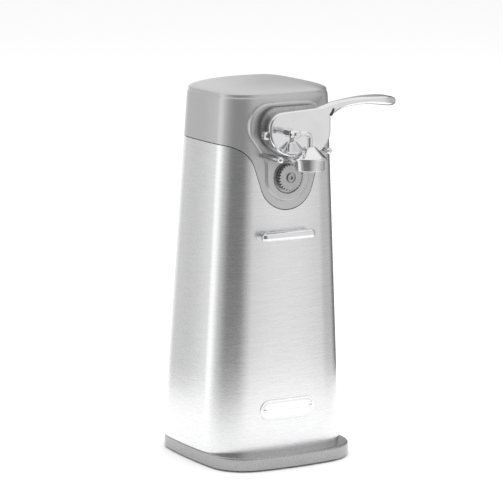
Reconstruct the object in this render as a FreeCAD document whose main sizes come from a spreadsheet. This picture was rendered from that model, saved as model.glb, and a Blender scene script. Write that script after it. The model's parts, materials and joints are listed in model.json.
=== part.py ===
"""Electric can opener: a tapered steel body on a plinth, with a drive wheel and a cutting lever in front.

Millimetres. +Z is up, the front faces -Y and +X is to the right of someone who faces the front.
The origin is on the ground, under the middle of the plinth.
"""
import FreeCAD, Part
import Sketcher

import math
import os
import re

from FreeCAD import Placement, Rotation, Vector
from fcgear import fcgear, involute

# Driving dimensions. Each becomes a cell of the spreadsheet with its name as the alias.
SIZES = {
    # body
    "base_width": 114.4,
    "base_depth": 122.1,
    "base_top": 10.6,
    "ledge": 13.9,
    "side_bow": 393.0,
    "front_bow": 233.7,
    "corner_round": 28.3,
    "seam_height": 234.2,
    "rim_height": 268.0,
    "crown_width": 88.9,
    "front_lean": 1.9,
    "back_lean": 20.0,
    "crown_rise": 7.0,
    "crown_edge": 3.0,
    "sleeve_wall": 0.8,
    "housing_wall": 2.5,
    "base_wall": 2.4,
    "seam_gap": 0.3,
    "fit_gap": 0.15,
    "lip_height": 4.0,
    "lip_wall": 1.5,
    # reach of hole tools: before a surface, and through plates, walls and hubs
    "before": 1.0,
    "through_plate": 4.0,
    "through_wall": 12.0,
    "through_hub": 20.0,
    # plinth
    "foot_height": 1.2,
    "foot_seat": 1.2,
    "foot_band": 6.0,
    "foot_inset": 4.0,
    "cover_thick": 2.2,
    "vent_count": 6,
    "vent_pitch": 6.0,
    "vent_length": 30.0,
    "vent_width": 2.5,
    "base_edge_round": 1.4,
    "screw_radius": 1.5,
    "screw_post_radius": 3.6,
    "screw_head_radius": 2.8,
    "screw_head_thick": 1.5,
    "cover_screw_x": 36.0,
    "cover_screw_y": 39.0,
    # tongue and boss on the front of the housing
    "tongue_bottom": 186.6,
    "tongue_half": 15.9,
    "tongue_round": 21.6,
    "tongue_flare_x": 31.0,
    "tongue_flare_round": 23.0,
    "boss_front": 46.8,
    "boss_thick": 4.0,
    "boss_top": 264.0,
    "boss_half": 31.0,
    "boss_low": 241.5,
    "waist_height": 222.0,
    "waist_half": 17.8,
    "boss_bottom": 192.5,
    "boss_edge_size": 0.7,
    "boss_round": 16.0,
    "waist_round": 12.0,
    "corner_slack": 0.1,
    "post_radius": 3.2,
    "post_pilot_depth": 4.5,
    # drive wheel and its shaft
    "wheel_height": 210.0,
    "wheel_radius": 9.6,
    "wheel_thick": 3.2,
    "wheel_gap": 0.5,
    "wheel_teeth": 26,
    "tooth_depth": 0.9,
    "wheel_recess_radius": 11.6,
    "wheel_recess": 1.2,
    "wheel_hub_recess": 3.8,
    "wheel_hub_depth": 1.0,
    "wheel_socket": 2.4,
    "wheel_socket_depth": 1.4,
    "square": 4.2,
    "shaft_radius": 3.0,
    "running_gap": 0.05,
    "bush_wall": 1.5,
    # chassis
    "plate_thick": 1.5,
    "plate_round": 4.0,
    "front_plate_face": 40.4,
    "rear_plate_face": 20.0,
    "front_plate_half": 23.5,
    "rear_plate_half": 29.0,
    "front_plate_bottom": 157.0,
    "rear_plate_bottom": 132.0,
    "plate_top": 252.0,
    "spacer_radius": 2.6,
    "rivet_radius": 1.5,
    "upper_spacer_x": 20.5,
    "upper_spacer_z": 249.0,
    "lower_spacer_x": 20.5,
    "lower_spacer_z": 160.5,
    "post_x": 20.5,
    "upper_post_z": 238.5,
    "lower_post_x": 13.0,
    "lower_post_z": 198.5,
    "post_screw_head": 1.1,
    # gears: tooth size, counts and places
    "drive_module": 0.9,
    "middle_module": 0.6,
    "motor_module": 0.5,
    "drive_teeth": 48,
    "second_pinion_teeth": 12,
    "second_wheel_teeth": 54,
    "first_pinion_teeth": 12,
    "first_wheel_teeth": 54,
    "motor_pinion_teeth": 12,
    "mesh_gap": 0.12,
    "second_x": -8.0,
    "first_x": 4.0,
    "drive_back": 31.0,
    "drive_front": 37.0,
    "second_front": 37.5,
    "second_step": 29.5,
    "second_back": 25.5,
    "first_front": 30.0,
    "first_step": 24.7,
    "first_back": 22.2,
    "motor_front": 25.0,
    "motor_step": 21.6,
    "gear_hub_wall": 3.0,
    "gear_hole_radius": 3.6,
    "gear_hole_circle": 12.5,
    "gear_hole_count": 6,
    "pressure_angle": 25,
    "tooth_tip": 0.95,
    "gear_axle_radius": 2.0,
    "first_axle_radius": 1.5,
    # motor
    "core_half": 29.0,
    "core_depth": 25.0,
    "core_front": 10.0,
    "core_above": 20.0,
    "core_below": 46.0,
    "rotor_radius": 12.6,
    "air_gap": 0.6,
    "window_half": 19.0,
    "limb_thick": 12.0,
    "window_height": 14.0,
    "coil_build": 7.0,
    "coil_gap": 0.4,
    "motor_shaft_radius": 1.6,
    "shaft_clear": 1.5,
    "motor_bush_wall": 1.9,
    "motor_hub_wall": 2.5,
    "bracket_thick": 2.0,
    "hub_depth": 4.0,
    "motor_bolt_x": 23.5,
    "motor_bolt_radius": 1.75,
    "bolt_head": 1.4,
    "bolt_head_wall": 1.3,
    "spacer_wall": 1.8,
    "motor_nut_width": 6.0,
    "motor_nut_thick": 2.4,
    "upper_bolt_rise": 14.4,
    "lower_bolt_drop": 14.1,
    "fan_radius": 19.0,
    "fan_blades": 9,
    "fan_sheet": 1.2,
    "fan_hub_wall": 2.6,
    "blade_root": 3.0,
    "fan_depth": 7.0,
    # tie rods
    "rod_radius": 2.0,
    "rod_head": 2.4,
    "rod_into": 12.0,
    "rod_x": 34.0,
    "rod_front": 28.0,
    "rod_back": 26.0,
    "rod_boss_radius": 4.6,
    "rod_boss_bottom": 240.0,
    # rest bar, badge and guide pins
    "bar_height": 168.7,
    "bar_x": -2.2,
    "bar_length": 43.5,
    "bar_radius": 3.4,
    "bar_gap": 1.5,
    "bar_stud_radius": 1.8,
    "bar_stud_reach": 13.0,
    "bar_stud_into": 5.0,
    "bar_nut_width": 7.0,
    "bar_nut_gap": 1.1,
    "bar_nut_thick": 2.6,
    "badge_height": 41.0,
    "badge_length": 45.0,
    "badge_width": 15.2,
    "badge_thick": 0.8,
    "badge_rivet_x": 18.6,
    "badge_rivet_radius": 0.9,
    "rivet_sink": 0.12,
    "rivet_head": 0.45,
    "rivet_head_wall": 0.6,
    "pin_radius": 2.2,
    "left_pin_x": -20.2,
    "left_pin_z": 226.6,
    "left_pin_tip": 73.0,
    "right_pin_x": 25.2,
    "right_pin_z": 228.7,
    "right_pin_tip": 62.5,
    # cord inlet
    "gland_height": 24.0,
    "gland_bore": 3.5,
    "gland_wall": 1.8,
    "gland_flange": 2.5,
    "gland_clear": 0.65,
    "gland_length": 12.0,
    # lever
    "pivot_x": -13.5,
    "pivot_z": 246.0,
    "pivot_radius": 3.0,
    "carrier_gap": 2.5,
    "carrier_thick": 3.0,
    "lever_thick": 7.7,
    "lever_wall": 2.2,
    "lever_left": -22.2,
    "lever_right": 27.8,
    "lever_bottom": 226.4,
    "lever_top_left": 257.8,
    "lever_top_right": 260.2,
    "lever_edge_round": 1.6,
    "lever_lower_left_round": 19.0,
    "lever_lower_right_round": 17.0,
    "lever_upper_right_round": 7.0,
    "lever_upper_left_round": 11.0,
    "carrier_inset": 2.0,
    "carrier_rise": 1.0,
    "peg_radius": 2.4,
    "peg_screw_radius": 1.2,
    "peg_screw_head": 1.2,
    "ear_radius": 3.0,
    "ear_hole_radius": 1.3,
    "ear_length": 4.0,
    "ear_height": 242.2,
    "ear_out": 0.8,
    "peg_inset": 6.0,
    "carrier_margin": 2.2,
    "handle_tip": 83.3,
    "handle_half": 8.6,
    "handle_neck_gap": 0.05,
    "handle_length": 61.5,
    "handle_low": 259.0,
    "handle_high": 267.6,
    "handle_root_low": 249.0,
    "handle_heel": 7.7,
    "handle_throat": 12.7,
    "handle_tip_cut": 1.5,
    "handle_droop": 2.4,
    "handle_neck_end": 38.0,
    "handle_swell": 62.0,
    "handle_bend_round": 14.0,
    "handle_curve_round": 20.0,
    "cutter_x": 3.0,
    "cutter_z": 229.0,
    "cutter_radius": 8.0,
    "cutter_thick": 1.6,
    "cutter_shank": 2.0,
    "cutter_bevel": 2.6,
    "cutter_edge": 0.4,
    "cutter_head_radius": 3.6,
    "cutter_head": 1.6,
    "cutter_socket": 2.5,
    "cutter_gap": 0.3,
    # magnet
    "swing_front": 73.0,
    "swing_height": 244.5,
    "swing_post_x": -9.0,
    "swing_post_radius": 2.8,
    "arm_radius": 1.7,
    "arm_bend": 4.0,
    "magnet_x": 2.2,
    "cone_top": 235.0,
    "cone_top_radius": 4.0,
    "cup_radius": 11.8,
    "cup_height": 227.2,
    "cup_band": 1.6,
    "magnet_radius": 10.3,
    "magnet_bottom": 218.2,
    # switch
    "switch_length": 20.0,
    "switch_depth": 6.4,
    "switch_height": 9.0,
    "cam_radius": 4.4,
    "cam_thick": 3.0,
    "plunger_travel": 0.9,
    "plunger_radius": 1.05,
    "switch_reach": 5.0,
}

# Heights, depths and places that follow from the driving dimensions. A plane's number is its distance
# in front of the middle of the plinth, so its Y is minus that number.
LAYOUT = {
    "wheel_back": "boss_front + wheel_gap",
    "wheel_front": "wheel_back + wheel_thick",
    "bush_radius": "shaft_radius + running_gap + bush_wall",
    "front_plate_back": "front_plate_face - plate_thick",
    "rear_plate_back": "rear_plate_face - plate_thick",
    "boss_back": "boss_front - boss_thick",
    "deck_bottom": "base_top - base_wall",
    "cover_bottom": "foot_height",
    "cover_top": "cover_bottom + cover_thick",
    "carrier_back": "boss_front + carrier_gap",
    "carrier_front": "carrier_back + carrier_thick",
    "lever_front": "carrier_front + lever_thick",
    "handle_middle": "carrier_front + lever_thick / 2",
    "handle_neck_half": "lever_thick / 2 - handle_neck_gap",
    "cutter_back": "carrier_front + cutter_gap",
    "cutter_front": "cutter_back + cutter_thick",
    "second_reach": "drive_module * (drive_teeth + second_pinion_teeth) / 2 + mesh_gap",
    "second_z": "wheel_height - sqrt(second_reach ^ 2 - second_x ^ 2)",
    "first_reach": "middle_module * (second_wheel_teeth + first_pinion_teeth) / 2 + mesh_gap",
    "first_z": "second_z - sqrt(first_reach ^ 2 - (first_x - second_x) ^ 2)",
    "motor_reach": "motor_module * (first_wheel_teeth + motor_pinion_teeth) / 2 + mesh_gap",
    "motor_z": "first_z - sqrt(motor_reach ^ 2 - first_x ^ 2)",
    "core_back": "core_front - core_depth",
    "limb_bottom": "motor_z - core_below",
    "limb_top": "limb_bottom + limb_thick",
    "bore_radius": "rotor_radius + air_gap",
    "upper_bolt_z": "motor_z + upper_bolt_rise",
    "lower_bolt_z": "motor_z - lower_bolt_drop",
    "lean_rate": "front_lean / (rim_height - base_top)",
    "rest_front": "base_depth / 2 - ledge - lean_rate * (bar_height - base_top)",
    "bar_front": "rest_front + bar_gap + bar_radius",
    "badge_front": "base_depth / 2 - ledge - lean_rate * (badge_height - base_top)",
    "gland_back": "base_depth / 2 - back_lean * (gland_height - base_top) / (rim_height - base_top)",
}

CORNER_LEAST = 0.01
FULL_TURN = 360
HALF_TURN = 180
TURNS = {
    "Z": Rotation(),
    "-Z": Rotation(Vector(1, 0, 0), 180),
    "X": Rotation(Vector(0, 1, 0), 90),
    "-X": Rotation(Vector(0, 1, 0), -90),
    "Y": Rotation(Vector(1, 0, 0), -90),
    "-Y": Rotation(Vector(1, 0, 0), 90),
}

doc = FreeCAD.newDocument("CanOpener")
sheet = doc.addObject("Spreadsheet::Sheet", "Sizes")
layout = doc.addObject("App::VarSet", "Layout")
probe = doc.addObject("App::VarSet", "Probe")
NODES = []


def formula(text):
    """The same arithmetic, with every name pointing at its cell or at its place in the layout."""

    def owner(word):
        name = word[0]
        if name in SIZES:
            return "Sizes." + name
        if name in LAYOUT:
            return "Layout." + name
        return name

    return re.sub(r"[a-z]\w*", owner, str(text))


def write_sizes():
    for row, (name, number) in enumerate(SIZES.items(), start=1):
        sheet.set(f"A{row}", name)
        sheet.set(f"B{row}", str(number))
        sheet.setAlias(f"B{row}", name)
    doc.recompute()
    for name, text in LAYOUT.items():
        layout.addProperty("App::PropertyFloat", name, "Layout")
        layout.setExpression(name, formula(text))
    probe.addProperty("App::PropertyFloat", "answer", "Probe")
    doc.recompute()


def value(text):
    """The number that a formula gives now."""
    probe.setExpression("answer", formula(text))
    probe.recompute()
    return probe.answer


def bind(piece, formulas):
    for path, text in formulas.items():
        piece.setExpression(path, formula(text))
    return piece


def place(piece, x=0, y=0, z=0, along="Z"):
    piece.Placement = Placement(Vector(value(x), value(y), value(z)), TURNS[along])
    return bind(piece, {"Placement.Base.x": x, "Placement.Base.y": y, "Placement.Base.z": z})


def rod(name, radius, length, x=0, y=0, z=0, along="Y"):
    piece = bind(doc.addObject("Part::Cylinder", name), {"Radius": radius, "Height": length})
    return place(piece, x, y, z, along)


def cone(name, start, end, length, x=0, y=0, z=0, along="Z"):
    piece = doc.addObject("Part::Cone", name)
    bind(piece, {"Radius1": start, "Radius2": end, "Height": length})
    return place(piece, x, y, z, along)


def ball(name, radius, x=0, y=0, z=0):
    return place(bind(doc.addObject("Part::Sphere", name), {"Radius": radius}), x, y, z)


def block(name, width, depth, height, x=0, y=0, z=0):
    """A box centred on x and y that stands on z."""
    piece = bind(doc.addObject("Part::Box", name), {"Length": width, "Width": depth, "Height": height})
    return place(piece, f"{x} - ({width}) / 2", f"{y} - ({depth}) / 2", z)


def hexagon(name, across, length, x=0, y=0, z=0, along="Y"):
    """A hexagonal bar, given its width across the flats."""
    piece = doc.addObject("Part::Prism", name)
    piece.Polygon = 6
    bind(piece, {"Circumradius": f"({across}) / sqrt(3)", "Height": length})
    return place(piece, x, y, z, along)


def cut(name, base, *tools):
    piece = doc.addObject("Part::Cut", name)
    piece.Base = base
    piece.Tool = tools[0] if len(tools) == 1 else fuse(name + "_tools", *tools)
    return piece


def fuse(name, *pieces):
    piece = doc.addObject("Part::MultiFuse", name)
    piece.Shapes = list(pieces)
    piece.Refine = True
    return piece


def group(name, *pieces):
    """Like pieces kept as separate solids of one node."""
    piece = doc.addObject("Part::Compound", name)
    piece.Links = list(pieces)
    return piece


def fixed(name, shape):
    """A shape that is worked out from the sizes by the functions below."""
    piece = doc.addObject("Part::Feature", name)
    piece.Shape = shape
    return piece


def node(name, piece):
    piece.Label = name
    NODES.append(piece)
    return piece


# ---------------------------------------------------------------- outlines and sketches


def plane_of(body, role):
    return next(plane for plane in body.Origin.OriginFeatures if plane.Role == role)


def corner_points(corners):
    """Where each rounded corner's arc starts, bulges, ends and has its centre."""
    found = []
    count = len(corners)
    for i, (x, y, radius) in enumerate(corners):
        here = Vector(x, y, 0)
        before = (Vector(*corners[i - 1][:2], 0) - here).normalize()
        after = (Vector(*corners[(i + 1) % count][:2], 0) - here).normalize()
        half = math.acos(before * after) / 2
        reach = radius / math.tan(half)
        middle = (before + after).normalize()
        centre = here + middle * (radius / math.sin(half))
        found.append((here + before * reach, centre - middle * radius, here + after * reach, centre))
    return found


def outline(corners):
    """A closed wire with straight sides and rounded corners, in the XY plane."""
    arcs = corner_points(corners)
    edges = []
    for i, (start, bulge, end, centre) in enumerate(arcs):
        edges.append(Part.Arc(start, bulge, end).toShape())
        following = arcs[(i + 1) % len(arcs)][0]
        if (following - end).Length > 1e-6:
            edges.append(Part.LineSegment(end, following).toShape())
    return Part.Wire(edges)


def upright(wire, depth):
    """A wire drawn as X and Z, stood upright at a distance in front of the middle."""
    stood = wire.copy()
    stood.Placement = Placement(Vector(0, -depth, 0), TURNS["-Y"])
    return stood


def outline_sketch(body, name, corners, depth):
    """A fully constrained sketch of a rounded outline, parallel to the front, facing forward."""
    sketch = body.newObject("Sketcher::SketchObject", name)
    sketch.AttachmentSupport = [(plane_of(body, "XZ_Plane"), "")]
    sketch.MapMode = "FlatFace"
    sketch.setExpression("AttachmentOffset.Base.z", formula(depth))
    numbers = [tuple(value(text) for text in corner) for corner in corners]
    arcs = corner_points(numbers)
    count = len(corners)
    turned = [(bulge - start).cross(end - bulge).z > 0 for start, bulge, end, centre in arcs]
    shapes = [
        Part.Arc(start, bulge, end) if left else Part.Arc(end, bulge, start)
        for left, (start, bulge, end, centre) in zip(turned, arcs)
    ]
    shapes += [Part.LineSegment(arcs[i][2], arcs[(i + 1) % count][0]) for i in range(count)]
    sketch.addGeometry(shapes, False)
    sketch.addGeometry([Part.Point(Vector(x, y, 0)) for x, y, radius in numbers], True)
    rules = []
    bound = []
    for i, left in enumerate(turned):
        first = 1 if left else 2
        line_before = count + (i - 1) % count
        line_after = count + i
        x, y, radius = numbers[i]
        point = 2 * count + i
        rules += [
            Sketcher.Constraint("Tangent", i, first, line_before, 2),
            Sketcher.Constraint("Tangent", i, 3 - first, line_after, 1),
            Sketcher.Constraint("PointOnObject", point, 1, line_before),
            Sketcher.Constraint("PointOnObject", point, 1, line_after),
        ]
        bound += [
            (Sketcher.Constraint("DistanceX", -1, 1, point, 1, x), corners[i][0]),
            (Sketcher.Constraint("DistanceY", -1, 1, point, 1, y), corners[i][1]),
            (Sketcher.Constraint("Radius", i, radius), corners[i][2]),
        ]
    sketch.addConstraint(rules + [rule for rule, text in bound])
    for index, (rule, text) in enumerate(bound, start=len(rules)):
        sketch.setExpression(f"Constraints[{index}]", formula(text))
    return sketch


def plate_body(name, corners, back, thick):
    """A flat plate parallel to the front, as a PartDesign body with a sketch and a pad."""
    body = doc.addObject("PartDesign::Body", name)
    sketch = outline_sketch(body, name + "_outline", corners, back)
    pad = body.newObject("PartDesign::Pad", name + "_pad")
    pad.Profile = sketch
    pad.setExpression("Length", formula(thick))
    doc.recompute()
    return body


def rectangle_corners(half, bottom, top, radius):
    return [
        (f"-({half})", bottom, radius),
        (half, bottom, radius),
        (half, top, radius),
        (f"-({half})", top, radius),
    ]


# ---------------------------------------------------------------- the tapered body


def bowed_rectangle(half_width, half_depth, side_bow, front_bow, corner, middle, height):
    """A rectangle whose sides are long arcs and whose corners are arcs tangent to them."""
    side_centre = Vector(half_width - side_bow, 0, 0)
    front_centre = Vector(0, half_depth - front_bow, 0)
    side_reach = side_bow - corner
    front_reach = front_bow - corner
    line = front_centre - side_centre
    along = (side_reach**2 - front_reach**2 + line.Length**2) / (2 * line.Length)
    across = math.sqrt(side_reach**2 - along**2)
    unit = line.normalize()
    centre = side_centre + unit * along + Vector(-unit.y, unit.x, 0) * across
    to_side = (centre - side_centre).normalize()
    to_front = (centre - front_centre).normalize()
    side_end = side_centre + to_side * side_bow
    front_end = front_centre + to_front * front_bow
    corner_middle = centre + (to_side + to_front).normalize() * corner

    def at(point, flip_x, flip_y):
        return Vector(point.x * flip_x, point.y * flip_y + middle, height)

    side = Vector(half_width, 0, 0)
    front = Vector(0, half_depth, 0)
    arcs = [
        (at(side_end, 1, -1), at(side, 1, 1), at(side_end, 1, 1)),
        (at(side_end, 1, 1), at(corner_middle, 1, 1), at(front_end, 1, 1)),
        (at(front_end, 1, 1), at(front, 1, 1), at(front_end, -1, 1)),
        (at(front_end, -1, 1), at(corner_middle, -1, 1), at(side_end, -1, 1)),
        (at(side_end, -1, 1), at(side, -1, 1), at(side_end, -1, -1)),
        (at(side_end, -1, -1), at(corner_middle, -1, -1), at(front_end, -1, -1)),
        (at(front_end, -1, -1), at(front, 1, -1), at(front_end, 1, -1)),
        (at(front_end, 1, -1), at(corner_middle, 1, -1), at(side_end, 1, -1)),
    ]
    return Part.Wire([Part.Arc(*points).toShape() for points in arcs])


def body_numbers(height, inset):
    """Half width, half depth, the three radii and the middle of the body's section."""
    rise = (height - value("base_top")) / value("rim_height - base_top")
    half_base = value("base_width / 2")
    half = half_base + rise * (value("crown_width / 2") - half_base)
    front = value("ledge - base_depth / 2") + rise * value("front_lean")
    back = value("base_depth / 2") - rise * value("back_lean")
    share = half / half_base
    return (
        half - inset,
        (back - front) / 2 - inset,
        value("side_bow") * share - inset,
        value("front_bow") * share - inset,
        value("corner_round") * share - inset,
        (front + back) / 2,
    )


def body_section(height, inset):
    return bowed_rectangle(*body_numbers(height, inset), height)


def body_solid(bottom, top, inset):
    return Part.makeLoft([body_section(bottom, inset), body_section(top, inset)], True, True)


# Shares of the rim's size at which the dome's sections are drawn, and how suddenly its edge turns over.
CROWN_SHARES = (1.0, 0.996, 0.985, 0.965, 0.93, 0.86, 0.74, 0.56, 0.34, 0.04)
CROWN_POWER = 24


def crown_solid(inset):
    """The domed top above the rim, set in by a wall on every side."""
    rim = value("rim_height")
    half, deep, side_bow, front_bow, corner, middle = body_numbers(rim, inset)
    sections = []
    for share in CROWN_SHARES:
        dome = value("crown_rise") * (1 - share**2)
        edge = value("crown_edge") * math.sqrt(1 - share**CROWN_POWER)
        size = [share * number for number in (half, deep, side_bow, front_bow, corner)]
        sections.append(bowed_rectangle(*size, middle, rim - inset + dome + edge))
    return Part.makeLoft(sections, True, True)


def plinth_solid(bottom, top, inset):
    numbers = (
        value("base_width / 2") - inset,
        value("base_depth / 2") - inset,
        value("side_bow") - inset,
        value("front_bow") - inset,
        value("corner_round") - inset,
    )
    face = Part.Face(bowed_rectangle(*numbers, 0, bottom))
    return face.extrude(Vector(0, 0, top - bottom))


def tongue_region(gap):
    """Everything that belongs to the housing: above the seam, and the tongue down the front."""
    seam = value("seam_height")
    bottom = value("tongue_bottom")
    half = value("tongue_half")
    flare = value("tongue_flare_x")
    wide = value("base_width")
    high = value("rim_height") + wide
    corners = [
        (-half, bottom, value("tongue_round")),
        (half, bottom, value("tongue_round")),
        (flare, seam, value("tongue_flare_round")),
        (wide, seam, 1),
        (wide, high, 1),
        (-wide, high, 1),
        (-wide, seam, 1),
        (-flare, seam, value("tongue_flare_round")),
    ]
    depth = value("base_depth")
    face = Part.Face(upright(outline(corners), depth))
    if gap:
        face = face.makeOffset2D(gap)
    front = face.extrude(Vector(0, depth, 0))
    back = Part.makeBox(2 * wide, depth, high - seam, Vector(-wide, 0, seam - gap))
    return front.fuse(back).removeSplitter()


write_sizes()

BASE_TOP = value("base_top")
SEAM = value("seam_height")
RIM = value("rim_height")
WALL = value("housing_wall")
SLEEVE = value("sleeve_wall")


# ---------------------------------------------------------------- plinth


def four_rods(name, radius, length, x, front, back, z, along="Z"):
    """Four equal rods, two in front and two behind."""
    places = ((f"-{x}", f"-{front}"), (x, f"-{front}"), (f"-{x}", back), (x, back))
    return [rod(f"{name}_{i}", radius, length, px, py, z, along) for i, (px, py) in enumerate(places)]


def base_plinth():
    foot = value("foot_height")
    outer = plinth_solid(foot, BASE_TOP, 0)
    top_edges = [edge for edge in outer.Edges if edge.BoundBox.ZMin > BASE_TOP - 0.01]
    outer = outer.makeFillet(value("base_edge_round"), top_edges)
    hollow = plinth_solid(foot, value("deck_bottom"), value("base_wall"))
    inset = value("sleeve_wall + fit_gap")
    lip = body_solid(BASE_TOP, BASE_TOP + value("lip_height"), inset)
    lip_hollow = body_solid(BASE_TOP, BASE_TOP + value("lip_height"), inset + value("lip_wall"))
    shell = fixed("plinth_shell", outer.cut(hollow).fuse(lip.cut(lip_hollow)).removeSplitter())
    drop = "deck_bottom - cover_top"
    posts = four_rods(
        "cover_post", "screw_post_radius", drop, "cover_screw_x", "cover_screw_y",
        "cover_screw_y", "cover_top"
    )
    pilots = four_rods(
        "cover_pilot", "screw_radius", f"{drop} + 1.6", "cover_screw_x", "cover_screw_y",
        "cover_screw_y", "cover_top"
    )
    holes = four_rods("rod_hole", "rod_radius", "base_top", "rod_x", "rod_front", "rod_back",
                      "foot_height")
    solid = fuse("plinth_solid", shell, *posts)
    return node("base_plinth", cut("base_plinth", solid, *pilots, *holes))


def bottom_cover():
    foot = value("foot_height")
    plate = plinth_solid(foot, foot + value("cover_thick"), value("base_wall + fit_gap"))
    inset = value("foot_inset + base_wall")
    band = plinth_solid(foot, foot + value("foot_seat"), inset)
    middle = plinth_solid(foot, foot + value("foot_seat"), inset + value("foot_band"))
    blank = fixed("cover_blank", plate.cut(band.cut(middle)))
    holes = four_rods(
        "cover_hole", "screw_radius", "cover_thick * 2", "cover_screw_x", "cover_screw_y",
        "cover_screw_y", 0
    )
    slots = [
        block(f"vent_{i}", "vent_length", "vent_width", "cover_thick * 3", 0,
              f"vent_pitch * ({i} - (vent_count - 1) / 2)", 0)
        for i in range(int(value("vent_count")))
    ]
    return node("bottom_cover", cut("bottom_cover", blank, *holes, *slots))


def foot_ring():
    inset = value("foot_inset + base_wall + fit_gap")
    outer = plinth_solid(0, value("foot_height + foot_seat"), inset)
    inner = plinth_solid(0, value("foot_height + foot_seat"), inset + value("foot_band - 2 * fit_gap"))
    return node("foot_ring", fixed("foot_ring", outer.cut(inner)))


def cover_screws():
    heads = four_rods(
        "cover_head", "screw_head_radius", "foot_height - 0.2", "cover_screw_x", "cover_screw_y",
        "cover_screw_y", 0.2
    )
    shanks = four_rods(
        "cover_shank", "screw_radius", "deck_bottom + 1 - foot_height", "cover_screw_x", "cover_screw_y",
        "cover_screw_y", "foot_height"
    )
    screws = [fuse(f"cover_screw_{i}", head, shank) for i, (head, shank) in enumerate(zip(heads, shanks))]
    return node("cover_screws", group("cover_screws", *screws))


# ---------------------------------------------------------------- steel sleeve and what is on it


BAR_STUDS = ("bar_x - bar_stud_reach", "bar_x + bar_stud_reach")


def bar_studs(name, radius, start, length):
    return [rod(f"{name}_{i}", radius, length, x, start, "bar_height") for i, x in enumerate(BAR_STUDS)]


def badge_holes(name, radius, start, length):
    places = ("-badge_rivet_x", "badge_rivet_x")
    return [rod(f"{name}_{i}", radius, length, x, start, "badge_height") for i, x in enumerate(places)]


def steel_sleeve():
    shell = body_solid(BASE_TOP, RIM, 0).cut(body_solid(BASE_TOP, RIM, SLEEVE))
    blank = fixed("sleeve_blank", shell.cut(tongue_region(value("seam_gap"))))
    holes = bar_studs("bar_hole", "bar_stud_radius", "-bar_front", "through_wall + 2")
    rivets = badge_holes("badge_hole", "badge_rivet_radius", "-badge_front - 4", 8)
    gland = rod("gland_hole", "gland_bore + gland_wall", 20, 0, "gland_back - 12", "gland_height")
    return node("steel_sleeve", cut("steel_sleeve", blank, *holes, *rivets, gland))


def can_rest_bar():
    straight = "bar_length - 2 * bar_radius"
    bar = rod("bar_middle", "bar_radius", straight, f"bar_x - ({straight}) / 2", "-bar_front",
              "bar_height", "X")
    ends = [ball(f"bar_end_{i}", "bar_radius", f"bar_x + {side} * ({straight}) / 2", "-bar_front",
                 "bar_height")
            for i, side in enumerate((-1, 1))]
    studs = bar_studs("bar_stud", "bar_stud_radius", "-bar_front",
                      "bar_front - rest_front + bar_stud_into")
    collars = bar_studs("bar_collar", "bar_stud_radius + 1", "-bar_front",
                        "bar_front - rest_front - 0.05")
    return node("can_rest_bar", fuse("can_rest_bar", bar, *ends, *studs, *collars))


def bar_nuts():
    nuts = []
    for i, x in enumerate(BAR_STUDS):
        nut = hexagon(f"bar_nut_{i}", "bar_nut_width", "bar_nut_thick", x,
                      "-rest_front + sleeve_wall + bar_nut_gap", "bar_height")
        bore = rod(f"bar_nut_bore_{i}", "bar_stud_radius", 9, x, "-rest_front - 2", "bar_height")
        nuts.append(cut(f"bar_nut_cut_{i}", nut, bore))
    return node("bar_nuts", group("bar_nuts", *nuts))


def badge_plate():
    middle = value("badge_height")
    half = value("badge_length / 2")
    radius = value("badge_width / 2")
    low, high = middle - 2 * radius, middle + 2 * radius
    skin = body_solid(low, high, -value("badge_thick")).cut(body_solid(low, high, 0))
    corners = [(-half, middle - radius, radius - CORNER_LEAST), (half, middle - radius,
                                                                 radius - CORNER_LEAST),
               (half, middle + radius, radius - CORNER_LEAST), (-half, middle + radius,
                                                                radius - CORNER_LEAST)]
    face = Part.Face(upright(outline(corners), value("badge_front") + 10))
    blank = fixed("badge_blank", skin.common(face.extrude(Vector(0, 20, 0))))
    return node("badge_plate", cut("badge_plate", blank, *badge_holes("badge_bore", "badge_rivet_radius",
                                                                      "-badge_front - 4", 8)))


def badge_rivets():
    heads = badge_holes("badge_head", "badge_rivet_radius + rivet_head_wall",
                        "-badge_front - badge_thick + rivet_sink", "rivet_head")
    shanks = badge_holes("badge_shank", "badge_rivet_radius", "-badge_front - badge_thick + 0.3",
                         "badge_thick + 3")
    rivets = [fuse(f"badge_rivet_{i}", head, shank) for i, (head, shank) in enumerate(zip(heads, shanks))]
    return node("badge_rivets", group("badge_rivets", *rivets))


def cord_gland():
    flange = rod("gland_flange", "gland_bore + gland_wall + 2", "gland_flange", 0,
                 "gland_back + gland_clear", "gland_height")
    neck = rod("gland_neck", "gland_bore + gland_wall", "gland_length", 0,
               "gland_back + gland_clear + gland_flange - gland_length", "gland_height")
    bore = rod("gland_bore", "gland_bore", "gland_length + 4", 0,
               "gland_back + gland_flange - gland_length - 1",
               "gland_height")
    return node("cord_gland", cut("cord_gland", fuse("gland_solid", flange, neck), bore))


# ---------------------------------------------------------------- housing


BOSS = [
    ("-waist_half", "boss_bottom", "waist_half - corner_slack"),
    ("waist_half", "boss_bottom", "waist_half - corner_slack"),
    ("waist_half", "waist_height", "waist_round"),
    ("boss_half", "boss_low", "waist_round"),
    ("boss_half", "boss_top", "boss_round"),
    ("-boss_half", "boss_top", "boss_round"),
    ("-boss_half", "boss_low", "waist_round"),
    ("-waist_half", "waist_height", "waist_round"),
]

POSTS = (
    ("-post_x", "upper_post_z"),
    ("post_x", "upper_post_z"),
    ("-lower_post_x", "lower_post_z"),
    ("lower_post_x", "lower_post_z"),
)


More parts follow.
